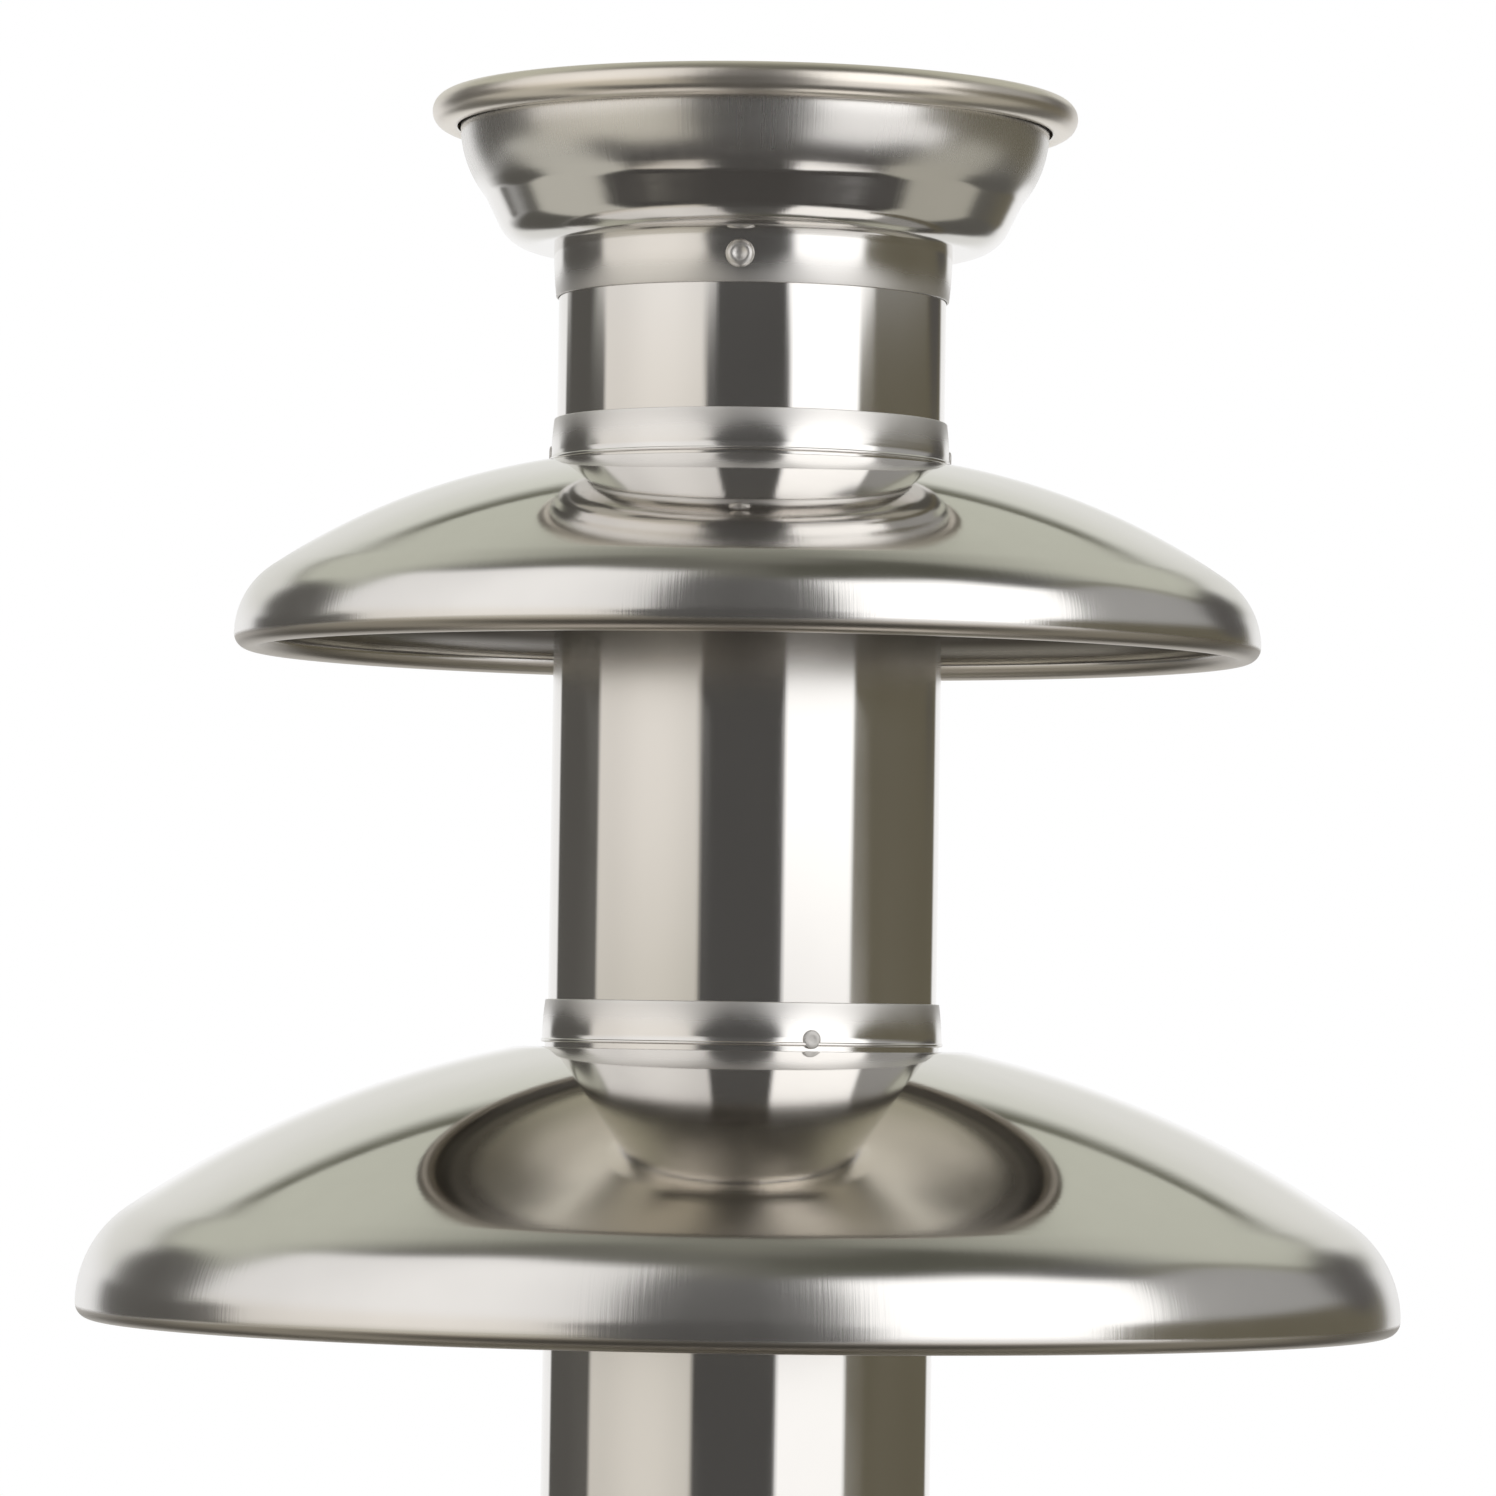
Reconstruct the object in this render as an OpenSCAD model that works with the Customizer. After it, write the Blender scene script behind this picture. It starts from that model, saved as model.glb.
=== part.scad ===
// Chocolate fountain: a stacked steel tower with a crown and two domed tiers, a screw auger inside it,
// a heated bowl, and a base that holds the gear motor, the heater and the controls.
// Millimetres, +Z up. The origin is on the table, on the axis of the tower; the controls face -Y.

/* [Tower tubes] */
// Outside diameter of the tower tubes
tube_d = 50.8; // [44:0.1:56]
// Wall of the tower tubes
tube_wall = 0.8; // [0.6:0.1:1]
// Length of the tube between the bowl and the lower tier
lower_tube_len = 183.1; // [165:0.1:200]
// Length of the tube between the two tiers
middle_tube_len = 75.1; // [70:0.1:90]
// Length of the tube between the upper tier and the crown
upper_tube_len = 28.6; // [24:0.1:36]
// Number of legs at the foot of the lower tube
leg_count = 3; // [3:1:4]
// Width of each leg along the tube wall
leg_w = 15; // [13:0.5:17]
// Height of the intake arches between the legs
intake_h = 17; // [12:0.5:22]
// Diameter of the bowl pegs that the legs drop over
peg_d = 5; // [4:0.5:6]
// Height of the bowl pegs
peg_h = 7; // [5:0.5:9]

/* [Tiers] */
// Sheet thickness of the domes and the crown
sheet = 0.7; // [0.5:0.1:0.9]
// Outside diameter of the upper tier
upper_tier_d = 134.2; // [125:0.1:150]
// Fall of the upper dome from its neck to its widest ring
upper_tier_drop = 22.6; // [21:0.1:27]
// Shoulder radius of the upper dome
upper_shoulder_r = 10.5; // [9:0.5:13]
// Outside diameter of the lower tier
lower_tier_d = 172.4; // [160:0.1:190]
// Fall of the lower dome from its neck to its widest ring
lower_tier_drop = 33.9; // [31:0.1:38]
// Shoulder radius of the lower dome
lower_shoulder_r = 15; // [12:0.5:17]
// Slope where a dome turns into its shoulder, in degrees
shoulder_slope = 34.5; // [31:0.5:38]
// Radius of the rolled hem under a dome
hem_r = 2.0; // [1.8:0.1:2.6]
// Height of a collar above its dome
collar_h = 6.2; // [5:0.1:8]
// Depth of the sleeve that a collar has below its dome
sleeve_h = 8; // [6:0.5:10]
// Wall of the collars
collar_wall = 0.65; // [0.5:0.05:0.8]
// How far a collar's free edge is drawn in
collar_draw = 0.4; // [0.2:0.05:0.45]
// Thickness of the stop ring inside a collar
stop_t = 0.8; // [0.6:0.1:1.2]
// Diameter of a rivet head on the crown's collar
rivet_head_d = 3.7; // [2.8:0.1:4]
// Diameter of a rivet head on a tier's collar
dimple_d = 2.4; // [2.3:0.1:3]

/* [Crown] */
// Height of the crown from its floor to the centre of its rolled rim
crown_rim_z = 17.8; // [16.5:0.1:21]
// Outside radius of the rolled rim's bead
crown_bead_r = 2.2; // [1.8:0.1:2.4]
// Radius of the flat floor of the crown
crown_floor_r = 28.4; // [28:0.1:30]
// Radius of the corner between floor and lower wall
crown_corner_r = 5.6; // [4.5:0.1:6.2]
// Height of the crease between lower and upper wall
crown_crease_z = 6.8; // [6.4:0.1:8.6]
// Lean of the lower wall from upright, in degrees
crown_lean = 26; // [15:1:28]
// Radius of the upper wall's curve
crown_wall_r = 14.6; // [10.5:0.1:15]
// Lean of the upper wall where it meets the crease, in degrees
crown_crease_turn = 40; // [34:1:45]
// Height of the crown's collar below its floor
crown_collar_h = 6.4; // [5:0.1:8]

/* [Auger] */
// Outside diameter of the auger's core tube
core_d = 16; // [15:0.5:18]
// Wall of the core tube
core_wall = 2; // [1.8:0.1:2.2]
// Rise of the flight in one turn
flight_pitch = 44; // [36:1:52]
// Thickness of the flight
flight_t = 2; // [1.6:0.1:2.6]
// Running gap between flight and tube
flight_gap = 0.6; // [0.4:0.05:1]
// Height of the flight's lower end above the bowl floor
flight_start = 10; // [9:0.5:12]
// Distance of the flight's upper end below the crown floor
flight_end = 8; // [6:0.5:12]
// Distance of the core's upper end below the crown floor
core_end = 4; // [3:0.5:5]
// Height of the auger's cap above its core
cap_h = 5; // [4:0.5:8]

/* [Bowl] */
// Outside diameter of the bowl's rolled rim
bowl_d = 220; // [215:1:240]
// Outside radius of the bowl rim's bead
bowl_bead_r = 2.8; // [2.4:0.1:3.2]
// Height of the bowl's rim centre above its ledge
bowl_wall_h = 37; // [32:1:45]
// Sheet thickness of the bowl
bowl_sheet = 1; // [0.8:0.1:1.2]
// Depth of the well below the ledge
well_h = 12.5; // [11:0.5:15]
// Radius of the well's wall, for a housing head of well_head_d
well_r = 72; // [71:0.5:73]
// Housing head that the well's radius is given for; the well keeps its distance from the head
well_head_d = 172; // [170:1:176]
// Radius of the well's corners
well_corner_r = 5; // [4:0.5:5.5]
// Width of the ledge that rests on the housing
ledge_w = 11; // [10:0.5:12]
// Corner radius between ledge and upper wall
bowl_corner_r = 16; // [14:1:18]

/* [Housing] */
// Outside diameter at the foot of the housing
housing_d = 178; // [172:1:186]
// Outside diameter at the head of the housing
housing_top_d = 172; // [170:1:176]
// Height of the housing's skirt
housing_h = 94; // [90:1:100]
// Height of the straight land at the foot of the housing
housing_land = 3; // [2:0.5:5]
// Sheet thickness of the housing
housing_wall = 1.2; // [1:0.1:1.5]
// Corner radius at the head of the housing
housing_corner_r = 4; // [3:0.5:5]
// Gap between the bowl's well and the flange that carries its ledge
flange_gap = 2; // [1.5:0.1:3]
// Thickness of the gasket between bowl and housing
gasket_t = 1.5; // [1:0.1:2.5]
// Thickness of the base plate
plate_t = 2; // [1.5:0.1:3]
// Thickness of the chassis plate
chassis_t = 2; // [1.5:0.1:3]
// Radius of the chassis plate
chassis_r = 76; // [74:1:78]
// Height of the chassis posts
post_h = 62; // [58:1:64]
// Diameter of the chassis posts
post_d = 10; // [8:0.5:12]
// Radius of the circle of chassis posts
post_circle_r = 62; // [60:1:66]
// Width of a cooling slot in the base plate
vent_w = 3; // [2:0.5:3.5]
// Length of a cooling slot in the base plate
vent_len = 22; // [16:1:28]

/* [Feet] */
// Diameter of a foot pad
pad_d = 26; // [20:1:30]
// Height of a foot pad
pad_h = 8; // [6:0.5:10]
// Diameter of a levelling screw
stud_d = 6; // [5:0.5:8]
// Length of a levelling screw above its hex collar
stud_len = 18; // [16:1:20]
// Height of a levelling screw's hex collar
hex_h = 4; // [3:0.5:6]
// Radius of the circle of feet
foot_circle_r = 68; // [64:1:70]

/* [Drive] */
// Diameter of the drive shaft
shaft_d = 8; // [7.5:0.1:8.4]
// Height of the drive shaft above the bowl floor
shaft_rise = 27; // [25:0.5:30]
// Diameter of the drive pin across the shaft
pin_d = 3; // [2.5:0.1:3.5]
// Height of the drive pin above the bowl floor
pin_rise = 18; // [17:0.5:20]
// Diameter of the shaft bush where it passes the bowl
bush_d = 14; // [13:0.5:16]
// Gear module
gear_m = 0.75; // [0.7:0.01:0.78]
// Teeth of both pinions
pinion_n = 10; // [10:1:11]
// Teeth of the idler wheel
idler_n = 28; // [27:1:28]
// Teeth of the output wheel
output_n = 32; // [31:1:33]
// Distance of the motor's axis from the tower's axis
motor_offset = 12; // [11:0.5:13]
// Outside diameter of the motor and the gearbox
motor_d = 60; // [58:0.5:64]
// Height of the motor can
motor_h = 36; // [32:1:36]
// Height of the gearbox case
gearbox_h = 21; // [20.5:0.5:22]
// Wall of the gearbox case
gearbox_wall = 1.5; // [1:0.1:2]
// Thickness of the gearbox lid
lid_t = 2.5; // [2:0.5:3]

/* [Heater] */
// Diameter of the tubular heater
heater_d = 6.6; // [5:0.2:8]
// Radius of the heater's ring
heater_r = 40; // [34:1:44]
// Angle of the gap between the heater's ends, in degrees
heater_gap = 40; // [30:1:60]
// How far the heater's clamp ring reaches past the heater
clamp_lip = 3; // [2.5:0.5:4]
// Thickness of the heater's clamp ring
clamp_t = 2; // [1.5:0.1:2.5]

/* [Controls] */
// Width of the control panel
panel_w = 92; // [86:1:100]
// Height of the control panel
panel_h = 42; // [38:1:48]
// Distance of the panel's face from the tower's axis
panel_y = 94; // [93:0.5:96]
// Wall of the control panel
panel_wall = 2.5; // [2:0.1:3]
// Height of the panel's centre above the base plate
panel_z = 44; // [38:1:50]
// Distance of the knob and the switch from the panel's centre
control_x = 24; // [22:1:26]
// Diameter of the heat knob
knob_d = 30; // [26:1:32]
// Depth of the heat knob
knob_h = 12; // [10:0.5:13]
// Diameter of the heat control's spindle
spindle_d = 6; // [5:0.5:7]
// Width of the rocker switch
rocker_w = 13; // [11:0.5:15]
// Length of the rocker switch
rocker_len = 19; // [17:0.5:21]
// Tilt of the rocker in its off position, in degrees
rocker_tilt = 8; // [6:0.5:10]
// Diameter of the pilot lamp's lens
lamp_d = 9; // [7:0.5:11]
// Width of the power inlet's socket
inlet_w = 24; // [22:0.5:26]
// Height of the power inlet's socket
inlet_h = 16.5; // [15:0.5:18]
// Depth of the power inlet's socket
inlet_depth = 16; // [14:0.5:18]
// Height of the power inlet's centre above the base plate
inlet_z = 30; // [24:1:40]

/* [Fits] */
// Radial clearance of a slip fit on the tower
slip = 0.08; // [0.04:0.01:0.1]
// Radial clearance of a running fit
run = 0.05; // [0.02:0.01:0.08]
// Side clearance of a piece that drops into a slot
drop_gap = 0.15; // [0.1:0.05:0.3]

/* [Hidden] */
$fn = 96;

// Steps of an arc in a profile
arc_n = 10;
// Stations in one turn of the auger's flight
turn_n = 32;

// Radii of the tower
tube_r = tube_d / 2;
bore_r = tube_r - tube_wall;
socket_r = tube_r + slip;
collar_r = socket_r + collar_wall;
// Flat land where a dome meets its collar
neck_land = 3.5;

// Heights, from the table up
plate_z = pad_h + hex_h;
skirt_z = plate_z + plate_t;
flange_z = skirt_z + housing_h;
ledge_z = flange_z + gasket_t + bowl_sheet;
floor_z = ledge_z - well_h;
under_z = floor_z - bowl_sheet;
rim_z = ledge_z + bowl_wall_h;
chassis_z = skirt_z + post_h;
lower_neck_z = floor_z + lower_tube_len + stop_t;
upper_neck_z = lower_neck_z + middle_tube_len + stop_t;
crown_z = upper_neck_z + upper_tube_len;
// Radius of the well that sits in the housing's head
seat_r = well_r + (housing_top_d - well_head_d) / 2;
lid_z = chassis_z - lid_t;
case_z = lid_z - gearbox_h;
can_z = case_z - motor_h;

// Spans of the gear train above the gearbox floor
case_floor_t = 2;
mesh_gap = 1;
wheel_t = 4;
low_wheel_z = case_z + case_floor_t + mesh_gap + 1.5;
high_wheel_z = low_wheel_z + wheel_t + mesh_gap + 0.5;
output_t = 5;
pinion_over = 0.5;
idler_top_z = high_wheel_z + output_t + pinion_over;

// Centres of the gears on plan: output wheel on the axis, motor on +X, idler between them
output_c = gear_m * (pinion_n + output_n) / 2;
input_c = gear_m * (pinion_n + idler_n) / 2;
idler_x = (output_c * output_c - input_c * input_c + motor_offset * motor_offset) / (2 * motor_offset);
idler_y = sqrt(output_c * output_c - idler_x * idler_x);
idler_at = [idler_x, idler_y];
motor_at = [motor_offset, 0];

// Tooth form: long pinion teeth, short wheel teeth, thinned for backlash
pressure_angle = 20;
pinion_addendum = 1.0 * gear_m;
wheel_addendum = 0.6 * gear_m;
root_gap = 0.25 * gear_m;
tooth_thin = 0.12;
axle_r = 1.5;
axle_boss_r = 3;
thrust_gap = 0.1;
journal_r = 3;

// Fasteners
rivet_r = 1;
rivet_head_h = 0.7;
dimple_h = 0.2;
rivets_per_collar = 2;
// Bearing of the first rivet of each collar, from the front towards +X
crown_rivet_at = -3.7;
upper_rivet_at = 90;
lower_rivet_at = 20;
crown_rivet_drop = 2.8;
collar_rivet_rise = 1.5;
screw_r = 2;
screw_head_r = 3.6;
screw_head_h = 2.4;
screw_bite = 8;
screw_room = 1;
foot_nut_h = 5;
foot_nut_across = 10;
frame_count = 3;
standoff_r = 4.5;
standoff_circle_r = 54;
post_bearing = 60;
standoff_bearing = 0;
foot_bearing = -90;
lid_ear_r = 5;
lid_ear_at = motor_d / 2 + screw_head_r + 0.6;

// Plan of the control panel
panel_mid_z = skirt_z + panel_z;
panel_corner = 8;
lamp_rise = 6;
inlet_mid_z = skirt_z + inlet_z;

// Points of an arc in a profile
function arc(c, r, a0, a1, n = arc_n) =
    [for (i = [0:n]) let (a = a0 + (a1 - a0) * i / n) c + r * [cos(a), sin(a)]];

// A profile's points without repeats
function tidy(p) =
    [for (i = [0:len(p) - 1]) if (i == 0 || norm(p[i] - p[max(i - 1, 0)]) > 0.001) p[i]];

function left_of(p, q) = let (d = (q - p) / norm(q - p)) [-d[1], d[0]];

// A profile moved sideways by t, to its left
function beside(p, t) =
    [for (i = [0:len(p) - 1])
        let (before = i > 0 ? left_of(p[i - 1], p[i]) : left_of(p[0], p[1]),
             after = i < len(p) - 1 ? left_of(p[i], p[i + 1]) : before,
             m = before + after)
        p[i] + 2 * t * m / (m * m)];

function backwards(p) = [for (i = [len(p) - 1:-1:0]) p[i]];

// Sheet metal spun about the axis: a profile and the same profile moved by the sheet's thickness
module spun(p, t) {
    rotate_extrude() polygon(concat(p, backwards(beside(p, t))));
}

module tube(r_out, r_in, z0, h) {
    translate([0, 0, z0]) difference() {
        cylinder(r = r_out, h = h);
        translate([0, 0, -1]) cylinder(r = r_in, h = h + 2);
    }
}

// Copies on a circle; bearing 0 is the front, -Y, and bearings grow towards +X
module around(count, start, r = 0) {
    for (i = [0:count - 1]) rotate([0, 0, start + i * 360 / count]) translate([0, -r, 0]) children();
}

// Copies on a circle, from an angle measured from +X
module ring(count, start, r) {
    for (i = [0:count - 1]) rotate([0, 0, start + i * 360 / count]) translate([r, 0, 0]) children();
}

module hex(across, h) {
    cylinder(d = across / cos(30), h = h, $fn = 6);
}

// A plate with round corners, drawn on XZ and running back from its face at y = 0
module front_plate(w, h, corner, depth) {
    rotate([-90, 0, 0]) linear_extrude(depth) union() {
        square([w - 2 * corner, h], center = true);
        square([w, h - 2 * corner], center = true);
        for (x = [-1, 1], y = [-1, 1])
            translate([x * (w / 2 - corner), y * (h / 2 - corner)]) circle(corner);
    }
}

// A pan-head screw that hangs below its head's seat at z = 0, shank up
module screw_up(len) {
    translate([0, 0, -screw_head_h]) cylinder(r = screw_head_r, h = screw_head_h);
    cylinder(r = screw_r, h = len);
}

// Tower

// A rivet through a collar's wall at the front: flush inside, with a domed head outside
module collar_rivet(z, head_d, head_h) {
    cap_r = (head_d * head_d / 4 + head_h * head_h) / (2 * head_h);
    translate([0, 0, z]) rotate([90, 0, 0]) {
        translate([0, 0, socket_r]) cylinder(r = rivet_r, h = collar_wall);
        translate([0, 0, collar_r]) intersection() {
            translate([0, 0, head_h - cap_r]) sphere(r = cap_r);
            cylinder(d = head_d + 1, h = head_h + 1);
        }
    }
}

module rivet_holes(z, start) {
    translate([0, 0, z]) around(rivets_per_collar, start)
        rotate([90, 0, 0]) cylinder(r = rivet_r, h = collar_r + 2);
}

// The free edge of a collar is drawn in along a parabola, over the height h from z = 0
function drawn_edge(h, dir) =
    [for (i = [0:6]) let (t = i / 6) [collar_r - collar_draw * t * t, dir * h * t]];

// Collar of a tier: a sleeve over the tube below, a stop ring, and a socket for the tube above
module tier_collar(z, start) {
    translate([0, 0, z]) difference() {
        rotate_extrude() polygon(concat(
            [[socket_r, -sleeve_h], [collar_r, -sleeve_h]],
            drawn_edge(collar_h, 1),
            [[socket_r, collar_h], [socket_r, 0], [bore_r, 0], [bore_r, -stop_t], [socket_r, -stop_t]]));
        rivet_holes(collar_rivet_rise, start);
    }
}

// Outer profile of a dome from its neck to its hem: a shallow main arc, a tight shoulder and a rolled hem
function dome_profile(d, drop, shoulder_r) =
    let (neck_r = collar_r + neck_land,
         run_m = d / 2 - neck_r - shoulder_r * (1 - sin(shoulder_slope)),
         fall_m = drop - shoulder_r * cos(shoulder_slope),
         slope0 = 2 * atan2(fall_m, run_m) - shoulder_slope,
         main_r = norm([run_m, fall_m]) / (2 * sin((shoulder_slope - slope0) / 2)),
         main_c = [neck_r - main_r * sin(slope0), -main_r * cos(slope0)],
         hem_turn = 205)
    tidy(concat(
        [[collar_r, 0]],
        arc(main_c, main_r, 90 - slope0, 90 - shoulder_slope, 14),
        arc([d / 2 - shoulder_r, -drop], shoulder_r, 90 - shoulder_slope, 0),
        arc([d / 2 - hem_r, -drop], hem_r, 0, -hem_turn, 12)));

module dome(z, d, drop, shoulder_r) {
    translate([0, 0, z]) spun(dome_profile(d, drop, shoulder_r), -sheet);
}

// Outer profile of the crown, floor to rim: round corner, leaning wall, crease, upper bowl, outward roll
function crown_profile() =
    let (corner_c = [crown_floor_r, crown_corner_r],
         wall0 = corner_c + crown_corner_r * [cos(crown_lean), -sin(crown_lean)],
         crease = [wall0[0] + (crown_crease_z - wall0[1]) * tan(crown_lean), crown_crease_z],
         upper_c = crease + crown_wall_r * [-cos(crown_crease_turn), sin(crown_crease_turn)],
         top_r = upper_c[0] + crown_wall_r,
         roll_r = crown_bead_r - sheet,
         roll_turn = 300)
    tidy(concat(
        [[bore_r, 0]],
        arc(corner_c, crown_corner_r, -90, -crown_lean),
        [crease],
        arc(upper_c, crown_wall_r, -crown_crease_turn, 0),
        arc([top_r + roll_r, crown_rim_z], roll_r, 180, 180 - roll_turn, 16)));

module crown_cup() {
    color("silver") translate([0, 0, crown_z]) spun(crown_profile(), sheet);
}

module crown_collar() {
    color("silver") translate([0, 0, crown_z]) difference() {
        rotate_extrude() polygon(concat(
            drawn_edge(crown_collar_h, -1), [[socket_r, -crown_collar_h], [socket_r, 0]]));
        rivet_holes(-crown_rivet_drop, crown_rivet_at);
    }
}

module crown_rivets() {
    color("gainsboro") around(rivets_per_collar, crown_rivet_at)
        collar_rivet(crown_z - crown_rivet_drop, rivet_head_d, rivet_head_h);
}

module upper_rivets() {
    color("gainsboro") around(rivets_per_collar, upper_rivet_at)
        collar_rivet(upper_neck_z + collar_rivet_rise, dimple_d, dimple_h);
}

module lower_rivets() {
    color("gainsboro") around(rivets_per_collar, lower_rivet_at)
        collar_rivet(lower_neck_z + collar_rivet_rise, dimple_d, dimple_h);
}

module upper_tube() {
    color("lightgray") tube(tube_r, bore_r, upper_neck_z, upper_tube_len);
}

module middle_tube() {
    color("lightgray") tube(tube_r, bore_r, lower_neck_z, middle_tube_len);
}

module upper_collar() {
    color("silver") tier_collar(upper_neck_z, upper_rivet_at);
}

module lower_collar() {
    color("silver") tier_collar(lower_neck_z, lower_rivet_at);
}

module upper_dome() {
    color("silver") dome(upper_neck_z, upper_tier_d, upper_tier_drop, upper_shoulder_r);
}

module lower_dome() {
    color("silver") dome(lower_neck_z, lower_tier_d, lower_tier_drop, lower_shoulder_r);
}

// The lower tube stands on legs between arched intakes, and each leg's notch drops over a peg of the bowl
module lower_tube() {
    arch_w = 2 * tube_r * sin(180 / leg_count) - leg_w;
    arch_r = arch_w / 2;
    arch_top_r = intake_h / 2;
    notch_w = peg_d + 2 * drop_gap;
    color("lightgray") difference() {
        tube(tube_r, bore_r, floor_z, lower_tube_len);
        around(leg_count, 180 / leg_count) translate([0, 0, floor_z]) rotate([90, 0, 0])
            linear_extrude(tube_r + 1) difference() {
                translate([-arch_r, -1]) square([arch_w, intake_h + 1]);
                for (s = [-1, 1])
                    translate([s * (arch_r - arch_top_r), intake_h - arch_top_r]) difference() {
                        translate([s > 0 ? 0 : -arch_top_r, 0]) square(arch_top_r);
                        circle(arch_top_r);
                    }
            }
        around(leg_count, 0) translate([-notch_w / 2, -tube_r - 1, floor_z - 1])
            cube([notch_w, 2 * tube_wall + 3, peg_h + drop_gap + 1]);
    }
}

// Auger

core_r = core_d / 2;
core_bore_r = core_r - core_wall;
core_z0 = floor_z + 7;
core_z1 = crown_z - core_end;
pin_z = floor_z + pin_rise;
pin_slot_w = pin_d + 2 * drop_gap;
pin_seat_gap = 0.05;
flight_r = bore_r - flight_gap;
// The flight's inner edge is a polyline that touches the core at the middle of its chords
flight_root_r = core_r / cos(180 / turn_n);

// Slot that drops over the drive pin, open at the foot
module pin_slot() {
    translate([-core_r - 1, -pin_slot_w / 2, core_z0 - 1])
        cube([2 * core_r + 2, pin_slot_w, pin_z + pin_d / 2 + pin_seat_gap - core_z0 + 1]);
}

module auger_core() {
    color("whitesmoke") difference() {
        tube(core_r, core_bore_r, core_z0, core_z1 - core_z0);
        pin_slot();
    }
}

// Bush pressed into the foot of the core, bored for the shaft
module auger_socket() {
    color("lightsteelblue") difference() {
        tube(core_bore_r, shaft_d / 2 + slip, core_z0, shaft_rise + floor_z - core_z0 + 2);
        pin_slot();
    }
}

module auger_cap() {
    spigot_h = 6;
    color("whitesmoke") union() {
        translate([0, 0, core_z1 - spigot_h]) cylinder(r = core_bore_r, h = spigot_h + 0.5);
        translate([0, 0, core_z1]) rotate_extrude() polygon(concat(
            [[0, 0], [core_r, 0]],
            [for (i = [1:8]) let (a = 90 * i / 8) [core_r * cos(a), cap_h * sin(a)]]));
    }
}

// One station of the flight: root below, root above, tip above, tip below
function flight_ring(i) =
    let (a = 360 * i / turn_n,
         z = floor_z + flight_start + flight_pitch * i / turn_n,
         d = [cos(a), sin(a)],
         tip_t = 0.6 * flight_t)
    [[flight_root_r * d[0], flight_root_r * d[1], z],
     [flight_root_r * d[0], flight_root_r * d[1], z + flight_t],
     [flight_r * d[0], flight_r * d[1], z + flight_t],
     [flight_r * d[0], flight_r * d[1], z + flight_t - tip_t]];

module auger_flight() {
    rise = crown_z - flight_end - flight_t - floor_z - flight_start;
    n = floor(rise / flight_pitch * turn_n);
    points = [for (i = [0:n], p = flight_ring(i)) p];
    sides = [for (i = [0:n - 1], k = [0:3])
        let (a = 4 * i + k, b = 4 * i + (k + 1) % 4)
        each [[a, b, b + 4], [a, b + 4, a + 4]]];
    ends = [[2, 1, 0], [3, 2, 0], [4 * n, 4 * n + 1, 4 * n + 2], [4 * n, 4 * n + 2, 4 * n + 3]];
    color("whitesmoke") polyhedron(points, [for (t = concat(sides, ends)) [t[2], t[1], t[0]]]);
}

// Bowl

// Inner profile of the bowl from its centre hole to its rim; the wall is tangent to corner and bead
function bowl_profile() =
    let (bead_c = [bowl_d / 2 - bowl_bead_r, rim_z],
         corner_c = [seat_r + ledge_w, ledge_z + bowl_corner_r],
         between = bead_c - corner_c,
         lean = acos((bowl_corner_r + bowl_bead_r) / norm(between)) - atan2(between[1], between[0]))
    tidy(concat(
        [[bush_d / 2, floor_z]],
        arc([seat_r - well_corner_r, floor_z + well_corner_r], well_corner_r, -90, 0, 8),
        arc([seat_r + well_corner_r, ledge_z - well_corner_r], well_corner_r, 180, 90, 8),
        arc(corner_c, bowl_corner_r, -90, -lean),
        arc(bead_c, bowl_bead_r, 180 - lean, -110, 16)));

module bowl() {
    color("lightgray") spun(bowl_profile(), -bowl_sheet);
}

module tower_pegs() {
    color("gainsboro") around(leg_count, 0, tube_r - tube_wall / 2)
        translate([0, 0, floor_z]) {
            cylinder(d = peg_d, h = peg_h - 1);
            translate([0, 0, peg_h - 1]) cylinder(d1 = peg_d, d2 = peg_d - 1.6, h = 1);
        }
}

module bowl_gasket() {
    color("dimgray") tube(seat_r + ledge_w, seat_r + well_corner_r + 0.5, flange_z, gasket_t);
}

bush_flange_r = bush_d / 2 + 4;
bush_flange_t = 2.5;
bush_h = 16;
nut_h = 6;
nut_across = bush_d + 8;
seal_t = 3;

module shaft_bush() {
    color("goldenrod") difference() {
        union() {
            translate([0, 0, floor_z]) cylinder(r = bush_flange_r, h = bush_flange_t);
            translate([0, 0, floor_z - bush_h]) cylinder(d = bush_d, h = bush_h + 1);
        }
        translate([0, 0, floor_z - bush_h - 1])
            cylinder(r = shaft_d / 2 + run, h = bush_h + bush_flange_t + 2);
    }
}

module bush_nut() {
    color("silver") translate([0, 0, under_z - nut_h]) difference() {
        hex(nut_across, nut_h);
        translate([0, 0, -1]) cylinder(d = bush_d, h = nut_h + 2);
    }
}

// Lip seal on the bush, with a groove round its outside
module shaft_seal() {
    r0 = shaft_d / 2 + run;
    r1 = bush_flange_r - 1.5;
    groove = 0.8;
    color("firebrick") translate([0, 0, floor_z + bush_flange_t]) rotate_extrude() polygon([
        [r0, 0], [r1, 0], [r1, seal_t * 0.35], [r1 - groove, seal_t / 2], [r1, seal_t * 0.65],
        [r0 + 1.6, seal_t], [r0, seal_t]]);
}

module bowl_standoffs() {
    color("gainsboro") ring(frame_count, standoff_bearing, standoff_circle_r) difference() {
        translate([0, 0, chassis_z + chassis_t])
            cylinder(r = standoff_r, h = under_z - chassis_z - chassis_t);
        translate([0, 0, chassis_z]) cylinder(r = screw_r, h = chassis_t + screw_bite + screw_room);
    }
}

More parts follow.
